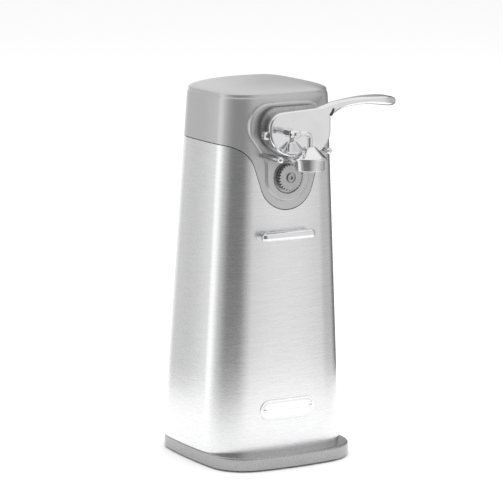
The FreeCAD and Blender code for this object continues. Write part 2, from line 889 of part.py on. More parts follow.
def top_housing():
    region = tongue_region(0)
    lowest = value("tongue_bottom") - 2
    outer = body_solid(lowest, RIM, 0).common(region).fuse(crown_solid(0))
    inner = body_solid(lowest, RIM - WALL, WALL).fuse(crown_solid(WALL))
    lip = body_solid(SEAM - value("lip_height"), SEAM, value("sleeve_wall + fit_gap"))
    shell = fixed("housing_shell", outer.fuse(lip).cut(inner))
    boss = plate_body("boss_pad", BOSS, "boss_back", "boss_thick")
    soft = boss.newObject("PartDesign::Chamfer", "boss_edge")
    faces = boss.Shape.Faces
    front = min(range(len(faces)), key=lambda i: faces[i].CenterOfMass.y)
    soft.Base = (doc.getObject("boss_pad_pad"), [f"Face{front + 1}"])
    soft.setExpression("Size", formula("boss_edge_size"))
    doc.recompute()
    posts = [rod(f"post_{i}", "post_radius", "boss_back - front_plate_face", x, "-boss_back", z)
             for i, (x, z) in enumerate(POSTS)]
    rods = four_rods("rod_boss", "rod_boss_radius", "rim_height - rod_boss_bottom", "rod_x", "rod_front",
                     "rod_back", "rod_boss_bottom")
    solid = fuse("housing_solid", shell, boss, *posts, *rods)
    tools = [
        rod("wheel_recess", "wheel_recess_radius", "wheel_recess + 5", 0, "-boss_front - 5",
            "wheel_height"),
        rod("bush_hole", "bush_radius", "through_wall", 0, "-boss_front - before", "wheel_height"),
        rod("pivot_hole", "pivot_radius + running_gap", "through_wall", "pivot_x", "-boss_front - before",
            "pivot_z"),
        rod("left_pin_hole", "pin_radius", "through_wall", "left_pin_x", "-boss_front - before",
            "left_pin_z"),
        rod("right_pin_hole", "pin_radius", "through_wall", "right_pin_x", "-boss_front - before",
            "right_pin_z"),
    ]
    tools += [rod(f"post_pilot_{i}", "screw_radius", "post_pilot_depth", x,
                  "-front_plate_face - post_pilot_depth", z)
              for i, (x, z) in enumerate(POSTS)]
    tools += four_rods("rod_pilot", "rod_radius", "rod_into + 2", "rod_x", "rod_front", "rod_back",
                       "rod_boss_bottom")
    return node("top_housing", cut("top_housing", solid, *tools))


def tie_rods():
    shanks = four_rods("tie_shank", "rod_radius", "rod_boss_bottom + rod_into - deck_bottom", "rod_x",
                       "rod_front",
                       "rod_back", "deck_bottom")
    heads = four_rods("tie_head", "rod_radius + spacer_wall", "rod_head", "rod_x", "rod_front",
                      "rod_back", "deck_bottom - rod_head")
    pairs = [fuse(f"tie_rod_{i}", shank, head) for i, (shank, head) in enumerate(zip(shanks, heads))]
    return node("tie_rods", group("tie_rods", *pairs))


def guide_pin(side):
    x, z, tip = f"{side}_pin_x", f"{side}_pin_z", f"{side}_pin_tip"
    shank = rod(f"{side}_shank", "pin_radius", f"{tip} - pin_radius - boss_back", x,
                f"-{tip} + pin_radius", z)
    return node(f"guide_pin_{side}", fuse(f"guide_pin_{side}", shank, ball(f"{side}_tip", "pin_radius", x,
                                                                           f"-{tip} + pin_radius", z)))


# ---------------------------------------------------------------- chassis


SPACERS = (
    ("-upper_spacer_x", "upper_spacer_z"),
    ("upper_spacer_x", "upper_spacer_z"),
    ("-lower_spacer_x", "lower_spacer_z"),
    ("lower_spacer_x", "lower_spacer_z"),
)
MOTOR_BOLTS = (
    ("-motor_bolt_x", "upper_bolt_z"),
    ("motor_bolt_x", "upper_bolt_z"),
    ("-motor_bolt_x", "lower_bolt_z"),
    ("motor_bolt_x", "lower_bolt_z"),
)


def rods_at(name, places, radius, start, length):
    """Equal rods from a plane towards the back, one at each place."""
    return [rod(f"{name}_{i}", radius, length, x, start, z) for i, (x, z) in enumerate(places)]


def front_gear_plate():
    corners = rectangle_corners("front_plate_half", "front_plate_bottom", "plate_top", "plate_round")
    plate = plate_body("front_plate_pad", corners, "front_plate_back", "plate_thick")
    start = "-front_plate_face - 1"
    tools = rods_at("front_rivet_hole", SPACERS, "rivet_radius", start, "through_plate")
    tools += rods_at("front_post_hole", POSTS, "screw_radius", start, "through_plate")
    tools.append(rod("front_bush_hole", "bush_radius", "through_plate", 0, start, "wheel_height"))
    tools.append(rod("front_pivot_hole", "pivot_radius + running_gap", "through_plate", "pivot_x", start,
                     "pivot_z"))
    tools.append(rod("front_second_hole", "gear_axle_radius", "through_plate", "second_x", start,
                     "second_z"))
    tools.append(rod("front_first_hole", "first_axle_radius", "through_plate", "first_x", start,
                     "first_z"))
    return node("front_gear_plate", cut("front_gear_plate", plate, *tools))


def rear_gear_plate():
    corners = rectangle_corners("rear_plate_half", "rear_plate_bottom", "plate_top", "plate_round")
    plate = plate_body("rear_plate_pad", corners, "rear_plate_back", "plate_thick")
    start = "-rear_plate_face - 1"
    tools = rods_at("rear_rivet_hole", SPACERS, "rivet_radius", start, "through_plate")
    tools += rods_at("rear_bolt_hole", MOTOR_BOLTS, "motor_bolt_radius", start, "through_plate")
    tools.append(rod("rear_bush_hole", "bush_radius", "through_plate", 0, start, "wheel_height"))
    tools.append(rod("rear_shaft_hole", "motor_shaft_radius + shaft_clear", "through_plate", 0, start,
                     "motor_z"))
    tools.append(rod("rear_second_hole", "gear_axle_radius", "through_plate", "second_x", start,
                     "second_z"))
    tools.append(rod("rear_first_hole", "first_axle_radius", "through_plate", "first_x", start,
                     "first_z"))
    return node("rear_gear_plate", cut("rear_gear_plate", plate, *tools))


def plate_spacers():
    length = "front_plate_back - rear_plate_face"
    bodies = rods_at("spacer_body", SPACERS, "spacer_radius", "-front_plate_back", length)
    necks = rods_at("spacer_neck", SPACERS, "rivet_radius", "-front_plate_face",
                    "front_plate_face - rear_plate_back")
    spacers = [fuse(f"spacer_{i}", body, neck) for i, (body, neck) in enumerate(zip(bodies, necks))]
    return node("plate_spacers", group("plate_spacers", *spacers))


def chassis_screws():
    heads = rods_at("chassis_head", POSTS, "screw_head_radius", "-front_plate_back", "post_screw_head")
    shanks = rods_at("chassis_shank", POSTS, "screw_radius", "-front_plate_face - 4", "plate_thick + 4")
    screws = [fuse(f"chassis_screw_{i}", head, shank) for i, (head, shank) in enumerate(zip(heads,
                                                                                            shanks))]
    return node("chassis_screws", group("chassis_screws", *screws))


def bushings():
    """Sintered bushes for the drive shaft, one in each plate."""
    front = cut(
        "front_bush_solid",
        rod("front_bush_barrel", "bush_radius", "boss_front - wheel_recess - front_plate_back - 0.2", 0,
            "-boss_front + wheel_recess + 0.2", "wheel_height"),
        rod("front_bush_bore", "shaft_radius + running_gap", "through_hub", 0, "-boss_front",
            "wheel_height"),
    )
    rear = cut(
        "rear_bush_solid",
        fuse("rear_bush_outer",
             rod("rear_bush_barrel", "bush_radius", "plate_thick + 2", 0, "-rear_plate_face - 1",
                 "wheel_height"),
             rod("rear_bush_flange", "bush_radius + 1.5", 1, 0, "-rear_plate_face - 1", "wheel_height")),
        rod("rear_bush_bore", "shaft_radius + running_gap", "through_hub", 0, "-rear_plate_face - 5",
            "wheel_height"),
    )
    node("front_bushing", front)
    node("rear_bushing", rear)


def gear_axles():
    length = "front_plate_face - rear_plate_back"
    node("second_gear_axle", rod("second_gear_axle", "gear_axle_radius", length, "second_x",
                                 "-front_plate_face", "second_z"))
    node("first_gear_axle", rod("first_gear_axle", "first_axle_radius", length, "first_x",
                                "-front_plate_face", "first_z"))


# ---------------------------------------------------------------- gears


def gear_solid(module, teeth, front, back, x, z, turn):
    """An involute gear with its axis along Y, between two planes, turned by an angle in degrees."""
    builder = fcgear.FCWireBuilder()
    involute.CreateExternalGear(builder, value(module), int(value(teeth)), value("pressure_angle"), True,
                                addCoeff=value("tooth_tip"))
    wire = Part.Wire([edge.toShape() for edge in builder.wire])
    solid = Part.Face(wire).extrude(Vector(0, 0, value(front) - value(back)))
    spin = TURNS["-Y"] * Rotation(Vector(0, 0, 1), turn)
    solid.Placement = Placement(Vector(value(x), -value(back), value(z)), spin)
    return solid


def angle_between(x1, z1, x2, z2):
    return math.degrees(math.atan2(value(z2) - value(z1), value(x2) - value(x1)))


def mesh_turn(angle, teeth, mate_teeth, mate_turn):
    """How far a gear is turned so that its tooth falls in the space of the gear it meets.

    The angle points from this gear to its mate, whose own turn is given.
    """
    mate_pitch = FULL_TURN / value(mate_teeth)
    pitch = FULL_TURN / value(teeth)
    phase = ((angle + HALF_TURN - mate_turn) / mate_pitch) % 1
    return angle - ((0.5 - phase) % 1) * pitch


def gears():
    down = angle_between(0, "wheel_height", "second_x", "second_z")
    second_turn = mesh_turn(down + HALF_TURN, "second_pinion_teeth", "drive_teeth", 0)
    across = angle_between("second_x", "second_z", "first_x", "first_z")
    first_turn = mesh_turn(across + HALF_TURN, "first_pinion_teeth", "second_wheel_teeth", second_turn)
    last = angle_between("first_x", "first_z", 0, "motor_z")
    motor_turn = mesh_turn(last + HALF_TURN, "motor_pinion_teeth", "first_wheel_teeth", first_turn)

    blank = fixed("drive_gear_blank", gear_solid("drive_module", "drive_teeth", "drive_front",
                                                 "drive_back", 0, "wheel_height", 0))
    hub = rod("drive_gear_hub", "shaft_radius + gear_hub_wall", "drive_back - second_back", 0,
              "-drive_back", "wheel_height")
    tools = [rod("drive_gear_bore", "shaft_radius", "through_hub", 0, "-drive_front - 2", "wheel_height")]
    for i in range(int(value("gear_hole_count"))):
        angle = f"{i} * 360 / gear_hole_count"
        tools.append(rod(f"drive_gear_hole_{i}", "gear_hole_radius", "through_wall",
                         f"gear_hole_circle * cos({angle})", "-drive_front - 2",
                         f"wheel_height + gear_hole_circle * sin({angle})"))
    node("drive_gear", cut("drive_gear", fuse("drive_gear_solid", blank, hub), *tools))

    small = gear_solid("drive_module", "second_pinion_teeth", "second_front", "second_step", "second_x",
                       "second_z", second_turn)
    large = gear_solid("middle_module", "second_wheel_teeth", "second_step", "second_back", "second_x",
                       "second_z", second_turn)
    blank = fixed("second_gear_blank", small.fuse(large))
    bore = rod("second_gear_bore", "gear_axle_radius + running_gap", "through_hub", "second_x",
               "-second_front - 1", "second_z")
    node("second_gear", cut("second_gear", blank, bore))

    small = gear_solid("middle_module", "first_pinion_teeth", "first_front", "first_step", "first_x",
                       "first_z", first_turn)
    large = gear_solid("motor_module", "first_wheel_teeth", "first_step", "first_back", "first_x",
                       "first_z", first_turn)
    blank = fixed("first_gear_blank", small.fuse(large))
    bore = rod("first_gear_bore", "first_axle_radius + running_gap", "through_hub", "first_x",
               "-first_front - 1", "first_z")
    node("first_gear", cut("first_gear", blank, bore))

    blank = fixed("motor_pinion_blank", gear_solid("motor_module", "motor_pinion_teeth", "motor_front",
                                                   "motor_step", 0, "motor_z", motor_turn))
    bore = rod("motor_pinion_bore", "motor_shaft_radius", "through_hub", 0, "-motor_front - 1", "motor_z")
    node("motor_pinion", cut("motor_pinion", blank, bore))


# ---------------------------------------------------------------- drive wheel


def drive_wheel():
    """A toothed steel disc: notches cut round its edge, a sunk hub and a square hole."""
    disc = rod("wheel_disc", "wheel_radius", "wheel_thick", 0, "-wheel_front", "wheel_height")
    notches = []
    teeth = int(value("wheel_teeth"))
    for i in range(teeth):
        angle = f"{i} * 360 / wheel_teeth"
        reach = "(wheel_radius + tooth_depth * 0.35)"
        notches.append(rod(f"wheel_notch_{i}", "tooth_depth", "wheel_thick + 2",
                           f"{reach} * cos({angle})",
                           "-wheel_front - 1", f"wheel_height + {reach} * sin({angle})"))
    recess = rod("wheel_hub_recess", "wheel_hub_recess", 3, 0, "-wheel_front - 2", "wheel_height")
    hole = block("wheel_square", "square", 3, "square", 0, "-wheel_back - 0.5",
                 "wheel_height - square / 2")
    bore = rod("wheel_bore", "screw_radius", 8, 0, "-wheel_front - 1", "wheel_height")
    return node("drive_wheel", cut("drive_wheel", disc, *notches, recess, hole, bore))


def wheel_screw():
    head = rod("wheel_screw_head", "screw_head_radius", 1.6, 0, "-wheel_front - 0.6", "wheel_height")
    shank = rod("wheel_screw_shank", "screw_radius", 10, 0, "-wheel_front + 1", "wheel_height")
    socket = hexagon("wheel_screw_socket", "wheel_socket", "wheel_socket_depth", 0, "-wheel_front - 0.8",
                     "wheel_height")
    return node("wheel_screw", cut("wheel_screw", fuse("wheel_screw_solid", head, shank), socket))


def drive_shaft():
    shaft = rod("drive_shaft_body", "shaft_radius", "wheel_back - rear_plate_back + 2", 0, "-wheel_back",
                "wheel_height")
    stub = block("drive_shaft_square", "square", 2, "square", 0, "-wheel_back - 1",
                 "wheel_height - square / 2")
    thread = rod("drive_shaft_thread", "screw_radius", 14, 0, "-wheel_front", "wheel_height")
    return node("drive_shaft", cut("drive_shaft", fuse("drive_shaft_solid", shaft, stub), thread))


# ---------------------------------------------------------------- motor


def stator_core():
    core_height = "core_above + core_below"
    core = block("core_block", "2 * core_half", "core_depth", core_height, 0,
                 "-(core_front + core_back) / 2", "limb_bottom")
    bore = rod("core_bore", "bore_radius", "core_depth + 2", 0, "-core_front - 1", "motor_z")
    window = block("core_window", "2 * window_half", "core_depth + 2", "window_height", 0,
                   "-(core_front + core_back) / 2", "limb_top")
    bolts = rods_at("core_bolt_hole", MOTOR_BOLTS, "motor_bolt_radius", "-core_front - 1",
                    "core_depth + 2")
    return node("stator_core", cut("stator_core", core, bore, window, *bolts))


def stator_coil():
    wide = "2 * window_half - 2 * coil_gap"
    outer = block("coil_outer", wide, "core_depth + 2 * coil_build", "limb_thick + 2 * coil_build", 0,
                  "-(core_front + core_back) / 2", "limb_bottom - coil_build")
    inner = block("coil_inner", "2 * window_half + 2", "core_depth + 2 * coil_gap",
                  "limb_thick + 2 * coil_gap", 0,
                  "-(core_front + core_back) / 2", "limb_bottom - coil_gap")
    return node("stator_coil", cut("stator_coil", outer, inner))


def motor_bracket(side, face, depth_sign):
    """A strap bolted across the core, with a hub for the shaft's bush."""
    low = "lower_bolt_z - 5"
    start = f"{face}" if depth_sign > 0 else f"{face} - bracket_thick"
    strap = place(bind(doc.addObject("Part::Box", f"{side}_strap"),
                       {"Length": "2 * core_half - 4", "Width": "bracket_thick",
                        "Height": "upper_bolt_z - lower_bolt_z + 9"}),
                  "-core_half + 2", start, low)
    hub_start = f"{face}" if depth_sign > 0 else f"{face} - hub_depth"
    hub = rod(f"{side}_hub", "motor_shaft_radius + motor_bush_wall + motor_hub_wall", "hub_depth", 0,
              hub_start, "motor_z")
    bore = rod(f"{side}_hub_bore", "motor_shaft_radius + motor_bush_wall", "hub_depth + 2", 0,
               f"{hub_start} - 1", "motor_z")
    holes = rods_at(f"{side}_strap_hole", MOTOR_BOLTS, "motor_bolt_radius", f"{start} - 1",
                    "bracket_thick + 2")
    return node(f"motor_{side}_bracket", cut(f"motor_{side}_bracket", fuse(f"{side}_bracket_solid", strap,
                                                                           hub), bore, *holes))


def motor_bushes():
    bushes = []
    for side, start in (("front", "-core_front - hub_depth"), ("rear", "-core_back")):
        barrel = rod(f"{side}_motor_bush", "motor_shaft_radius + motor_bush_wall", "hub_depth", 0, start,
                     "motor_z")
        bore = rod(f"{side}_motor_bush_bore", "motor_shaft_radius + running_gap", "hub_depth + 2", 0,
                   f"{start} - 1", "motor_z")
        bushes.append(cut(f"{side}_motor_bush_cut", barrel, bore))
    return node("motor_bushes", group("motor_bushes", *bushes))


def rotor():
    body = rod("rotor_body", "rotor_radius", "core_depth - 1", 0, "-core_front + 0.5", "motor_z")
    bore = rod("rotor_bore", "motor_shaft_radius", "core_depth + 2", 0, "-core_front - 1", "motor_z")
    return node("rotor", cut("rotor", body, bore))


def motor_shaft():
    length = "motor_front + 0.5 - core_back + hub_depth + fan_depth + 3"
    return node("motor_shaft", rod("motor_shaft", "motor_shaft_radius", length, 0, "-motor_front - 0.5",
                                   "motor_z"))


def fan():
    start = "-core_back + hub_depth + 1"
    hub = rod("fan_hub", "motor_shaft_radius + fan_hub_wall", "fan_depth", 0, start, "motor_z")
    disc = rod("fan_disc", "fan_radius - 4", "fan_sheet", 0, start, "motor_z")
    blades = []
    for i in range(int(value("fan_blades"))):
        blade = doc.addObject("Part::Box", f"fan_blade_{i}")
        bind(blade, {"Length": "fan_radius - blade_root", "Width": "fan_sheet", "Height": "fan_depth"})
        turn = Rotation(Vector(0, 1, 0), FULL_TURN * i / value("fan_blades"))
        blade.Placement = Placement(Vector(), turn * TURNS["-Y"])
        start_radius = turn.multVec(Vector(value("blade_root"), 0, 0))
        bind(blade, {"Placement.Base.x": f"{start_radius.x:.6f}",
                     "Placement.Base.y": f"{start} + fan_depth",
                     "Placement.Base.z": f"motor_z + {start_radius.z:.6f}"})
        blades.append(blade)
    bore = rod("fan_bore", "motor_shaft_radius", "through_hub", 0, "-core_back", "motor_z")
    return node("cooling_fan", cut("cooling_fan", fuse("fan_solid", hub, disc, *blades), bore))


def motor_bolts():
    heads = rods_at("motor_bolt_head", MOTOR_BOLTS, "motor_bolt_radius + bolt_head_wall",
                    "-rear_plate_face - bolt_head", "bolt_head")
    length = "rear_plate_face + 1 - core_back + bracket_thick + 3"
    shanks = rods_at("motor_bolt_shank", MOTOR_BOLTS, "motor_bolt_radius", "-rear_plate_face - 1", length)
    bolts = [fuse(f"motor_bolt_{i}", head, shank) for i, (head, shank) in enumerate(zip(heads, shanks))]
    return node("motor_bolts", group("motor_bolts", *bolts))


def motor_nuts():
    nuts = []
    for i, (x, z) in enumerate(MOTOR_BOLTS):
        nut = hexagon(f"motor_nut_{i}", "motor_nut_width", "motor_nut_thick", x,
                      "-core_back + bracket_thick", z)
        bore = rod(f"motor_nut_bore_{i}", "motor_bolt_radius", "motor_nut_width", x, "-core_back", z)
        nuts.append(cut(f"motor_nut_cut_{i}", nut, bore))
    return node("motor_nuts", group("motor_nuts", *nuts))


def motor_spacers():
    length = "rear_plate_back - core_front - bracket_thick"
    sleeves = []
    for i, (x, z) in enumerate(MOTOR_BOLTS):
        barrel = rod(f"motor_spacer_{i}", "motor_bolt_radius + spacer_wall", length, x,
                     "-rear_plate_back", z)
        bore = rod(f"motor_spacer_bore_{i}", "motor_bolt_radius", "rear_plate_back", x,
                   "-rear_plate_back - 1", z)
        sleeves.append(cut(f"motor_spacer_cut_{i}", barrel, bore))
    return node("motor_spacers", group("motor_spacers", *sleeves))


# ---------------------------------------------------------------- lever


PEGS = (
    ("lever_right - peg_inset", "lever_top_right - peg_inset"),
    ("lever_right - peg_inset - 3", "lever_bottom + 11"),
    ("cutter_x - 5", "lever_top_left - 5"),
)
LEVER = [
    ("lever_left", "lever_bottom", "lever_lower_left_round"),
    ("lever_right", "lever_bottom", "lever_lower_right_round"),
    ("lever_right", "lever_top_right", "lever_upper_right_round"),
    ("lever_left", "lever_top_left", "lever_upper_left_round"),
]
LEVER_HOLLOW = [
    ("lever_left + lever_wall", "lever_bottom + lever_wall", "lever_lower_left_round - lever_wall"),
    ("lever_right - lever_wall", "lever_bottom + lever_wall", "lever_lower_right_round - lever_wall"),
    ("lever_right - lever_wall", "lever_top_right - lever_wall", "lever_upper_right_round - lever_wall"),
    ("lever_left + lever_wall", "lever_top_left - lever_wall", "lever_upper_left_round - lever_wall"),
]
CARRIER = [
    ("lever_left - carrier_margin", "lever_bottom + carrier_inset", "lever_lower_left_round - 1"),
    ("lever_right - carrier_inset", "lever_bottom + carrier_inset",
     "lever_lower_right_round - carrier_inset"),
    ("lever_right - carrier_inset", "lever_top_right + carrier_rise",
     "lever_upper_right_round + carrier_inset"),
    ("lever_left - carrier_margin", "lever_top_right + carrier_rise",
     "lever_upper_left_round + carrier_margin"),
]


# The thumb handle's edge seen from the front, in order round it: distance from the tip, height, rounding.
HANDLE_EDGE = (
    ("handle_length", "handle_root_low", 0.5),
    ("handle_length - handle_heel", "handle_root_low + 0.5", 2),
    ("handle_length - handle_throat", "handle_low - 0.4", 6),
    ("handle_length / 2 - 4", "handle_low", 30),
    ("handle_tip_cut", "handle_low - handle_droop", 3),
    ("0", "handle_high", 4.5),
    ("handle_length / 2 - 6", "handle_high - 0.9", 30),
    ("handle_length - handle_throat", "handle_high - 3.7", 20),
    ("handle_length", "handle_high - 8", 0.5),
)


def handle_blank():
    """The thumb handle: an edge profile seen from the front, met by a spoon shape seen from above."""
    tip = value("handle_tip")
    profile = [(tip - value(back), value(height), size) for back, height, size in HANDLE_EDGE]
    room = 2 * value("handle_half")
    side = Part.Face(upright(outline(profile), value("handle_middle") + room)).extrude(Vector(0, 2 * room,
                                                                                              0))
    middle = -value("handle_middle")
    half = value("handle_half")
    root = tip - value("handle_length")
    neck_end = value("handle_neck_end")
    swell = value("handle_swell")
    bend, curve = value("handle_bend_round"), value("handle_curve_round")
    right = [
        (root, value("handle_neck_half"), 0.5),
        (neck_end, value("handle_neck_half"), bend),
        (swell, half, curve),
        (tip, half, half - value("corner_slack")),
    ]
    plan = [(x, middle - reach, size) for x, reach, size in right]
    plan += [(x, middle + reach, size) for x, reach, size in right[::-1]]
    low = value("lever_bottom")
    above = Part.Face(outline(plan)).extrude(Vector(0, 0, value("handle_high") - low))
    above.translate(Vector(0, 0, low))
    return side.common(above)


def lever_arm():
    body = plate_body("lever_pad", LEVER, "carrier_front", "lever_thick")
    hollow = outline_sketch(body, "lever_hollow", LEVER_HOLLOW, "carrier_front")
    pocket = body.newObject("PartDesign::Pocket", "lever_pocket")
    pocket.Profile = hollow
    pocket.Reversed = True
    pocket.setExpression("Length", formula("lever_thick - lever_wall"))
    doc.recompute()
    rim = body.newObject("PartDesign::Fillet", "lever_rim")
    faces = body.Shape.Faces
    front = min(range(len(faces)), key=lambda i: faces[i].CenterOfMass.y)
    rim.Base = (pocket, [f"Face{front + 1}"])
    rim.setExpression("Radius", formula("lever_edge_round"))
    doc.recompute()
    handle = fixed("lever_handle", handle_blank())
    post = rod("swing_post", "swing_post_radius", "swing_front + swing_post_radius - lever_front + 1",
               "swing_post_x",
               "-swing_front - swing_post_radius", "swing_height")
    ear = rod("lever_ear", "ear_radius", "ear_length", "lever_left - ear_out",
              "-carrier_front - ear_length - 0.5", "ear_height")
    pegs = [rod(f"lever_peg_{i}", "peg_radius", "lever_thick - 1", x, "-lever_front + 1", z)
            for i, (x, z) in enumerate(PEGS)]
    solid = fuse("lever_solid", body, handle, post, ear, *pegs)
    tools = [
        rod("swing_hole", "arm_radius + running_gap", 12, "swing_post_x - 6", "-swing_front",
            "swing_height", "X"),
        rod("lever_ear_hole", "ear_hole_radius", "ear_length - 1", "lever_left - ear_out",
            "-carrier_front - ear_length - 1.5", "ear_height"),
        block("cutter_slot", "2 * cutter_radius + 3", "lever_thick - lever_wall", "cutter_radius",
              "cutter_x",
              "-carrier_front - (lever_thick - lever_wall) / 2", "lever_bottom - 2"),
    ]
    tools += rods_at("peg_pilot", PEGS, "peg_screw_radius", "-carrier_front - 4", 5)
    return node("lever_arm", cut("lever_arm", solid, *tools))




def lever_carrier():
    plate = plate_body("carrier_pad", CARRIER, "carrier_back", "carrier_thick")
    ear = rod("carrier_ear", 5.2, "carrier_thick", "cutter_x", "-carrier_front", "cutter_z")
    tools = [
        rod("carrier_cutter_hole", "cutter_shank", 6, "cutter_x", "-carrier_front - 1", "cutter_z"),
        rod("carrier_pivot_hole", "pivot_radius", 6, "pivot_x", "-carrier_front - 1", "pivot_z"),
    ]
    tools += [rod(f"carrier_peg_hole_{i}", "peg_screw_radius", 6, x, "-carrier_front - 1", z)
              for i, (x, z) in enumerate(PEGS)]
    return node("lever_carrier", cut("lever_carrier", fuse("carrier_solid", plate, ear), *tools))


def carrier_screws():
    screws = []
    for i, (x, z) in enumerate(PEGS):
        head = rod(f"carrier_screw_head_{i}", "peg_radius", "peg_screw_head", x, "-carrier_back", z)
        shank = rod(f"carrier_screw_shank_{i}", "peg_screw_radius", "carrier_thick + 3.5", x,
                    "-carrier_front - 3.5", z)
        screws.append(fuse(f"carrier_screw_{i}", head, shank))
    return node("carrier_screws", group("carrier_screws", *screws))


def pivot_shaft():
    shaft = rod("pivot_body", "pivot_radius", "carrier_front - front_plate_back + cam_thick + 1.4",
                "pivot_x", "-carrier_front", "pivot_z")
    collar = rod("pivot_collar", "pivot_radius + 2", "carrier_gap - 0.3", "pivot_x", "-carrier_back",
                 "pivot_z")
    return node("pivot_shaft", fuse("pivot_shaft", shaft, collar))


def switch_cam():
    start = "-front_plate_back + 0.4"
    disc = rod("cam_disc", "cam_radius", "cam_thick", "pivot_x", start, "pivot_z")
    nose = block("cam_nose", 3, "cam_thick", 4, "pivot_x + cam_radius - 1.2", f"{start} + cam_thick / 2",
                 "pivot_z - 2")
    bore = rod("cam_bore", "pivot_radius", 8, "pivot_x", f"{start} - 2", "pivot_z")
    return node("switch_cam", cut("switch_cam", fuse("cam_solid", disc, nose), bore))


def cutter_wheel():
    """A disc with a bevelled knife edge."""
    back = cone("cutter_back", "cutter_radius - cutter_edge", "cutter_radius", "cutter_edge", "cutter_x",
                "-cutter_back", "cutter_z", "-Y")
    front = cone("cutter_front", "cutter_radius", "cutter_radius - cutter_bevel",
                 "cutter_thick - cutter_edge", "cutter_x",
                 "-cutter_back - cutter_edge", "cutter_z", "-Y")
    bore = rod("cutter_bore", "cutter_shank + running_gap", 6, "cutter_x", "-cutter_front - 2",
               "cutter_z")
    return node("cutter_wheel", cut("cutter_wheel", fuse("cutter_solid", back, front), bore))


def cutter_screw():
    head = rod("cutter_head", "cutter_head_radius", "cutter_head", "cutter_x", "-cutter_front - 1.9",
               "cutter_z")
    shank = rod("cutter_pin", "cutter_shank", "cutter_front - carrier_back + 1.5", "cutter_x",
                "-cutter_front - 1.5", "cutter_z")
    socket = hexagon("cutter_socket", "cutter_socket", "before", "cutter_x", "-cutter_front - 2.2",
                     "cutter_z")
    return node("cutter_screw", cut("cutter_screw", fuse("cutter_screw_solid", head, shank), socket))


# ---------------------------------------------------------------- magnet


def magnet_arm():
    """A round bar that lies across the lever, then turns down to the magnet."""
    front = -value("swing_front")
    high = value("swing_height")
    x = value("magnet_x")
    bend = value("arm_bend")
    start = Vector(value("swing_post_x - swing_post_radius - 2"), front, high)
    before = Vector(x - bend, front, high)
    middle = Vector(x - bend * (1 - math.sin(math.pi / 4)), front,
                    high - bend * (1 - math.cos(math.pi / 4)))
    after = Vector(x, front, high - bend)
    end = Vector(x, front, value("cone_top"))
    path = Part.Wire([
        Part.LineSegment(start, before).toShape(),
        Part.Arc(before, middle, after).toShape(),
        Part.LineSegment(after, end).toShape(),
    ])
    circle = Part.Wire(Part.Circle(start, Vector(1, 0, 0), value("arm_radius")).toShape())
    bar = path.makePipeShell([circle], True, True)
    blank = fixed("arm_bar", bar)
    button = rod("arm_button", "arm_radius + 0.9", 1.2, "swing_post_x - swing_post_radius - 1.6",
                 "-swing_front",
                 "swing_height", "X")
    return node("magnet_arm", fuse("magnet_arm", blank, button))


def magnet_cup():
    flare = cone("cup_flare", "cup_radius", "cone_top_radius", "cone_top - cup_height", "magnet_x",
                 "-swing_front", "cup_height")
    band = rod("cup_band", "cup_radius", "cup_band", "magnet_x", "-swing_front", "cup_height - cup_band",
               "Z")
    return node("magnet_cup", fuse("magnet_cup", flare, band))


def magnet_disc():
    return node("magnet_disc", rod("magnet_disc", "magnet_radius",
                                   "cup_height - cup_band - magnet_bottom", "magnet_x",
                                   "-swing_front", "magnet_bottom", "Z"))


# ---------------------------------------------------------------- switch


def switch():
    start = "-front_plate_back + 0.2"
    x = "pivot_x + cam_radius + switch_reach + switch_length / 2"
    body = block("switch_case", "switch_length", "switch_depth", "switch_height", x,
                 f"{start} + switch_depth / 2", "pivot_z - switch_height / 2")
    well = rod("switch_well", "plunger_radius + running_gap", "switch_reach - 1",
               "pivot_x + cam_radius + switch_reach - 1", f"{start} + 2", "pivot_z", "X")
    node("microswitch", cut("microswitch", body, well))
    node("switch_plunger", rod("switch_plunger", "plunger_radius", "switch_reach",
                               "pivot_x + cam_radius + 1.4", f"{start} + 2", "pivot_z", "X"))


base_plinth()
bottom_cover()
foot_ring()
cover_screws()
steel_sleeve()
can_rest_bar()
bar_nuts()
badge_plate()
badge_rivets()
cord_gland()
top_housing()
tie_rods()
guide_pin("left")
guide_pin("right")
front_gear_plate()
rear_gear_plate()
plate_spacers()
chassis_screws()
bushings()
gear_axles()
gears()
drive_wheel()
wheel_screw()
drive_shaft()
stator_core()
stator_coil()
motor_bracket("front", "-core_front", -1)
motor_bracket("rear", "-core_back", 1)
motor_bushes()
rotor()
motor_shaft()
fan()
motor_bolts()
motor_nuts()
motor_spacers()
lever_arm()
lever_carrier()
carrier_screws()
pivot_shaft()
switch_cam()
cutter_wheel()
cutter_screw()
magnet_arm()
magnet_cup()
magnet_disc()
switch()

doc.recompute()
for item in doc.Objects:
    if "Invalid" in item.State or "Error" in item.State:
        raise RuntimeError(f"{item.Name} did not compute: {item.State}")
for piece in NODES:
    if piece.Shape.isNull() or not piece.Shape.isValid() or not piece.Shape.Solids:
        raise RuntimeError(f"{piece.Label} has no sound shape")

os.makedirs("parts", exist_ok=True)
for piece in NODES:
    piece.Shape.exportStep(f"parts/{piece.Label}.step")
print(len(NODES), "nodes")
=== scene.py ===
import json
import math

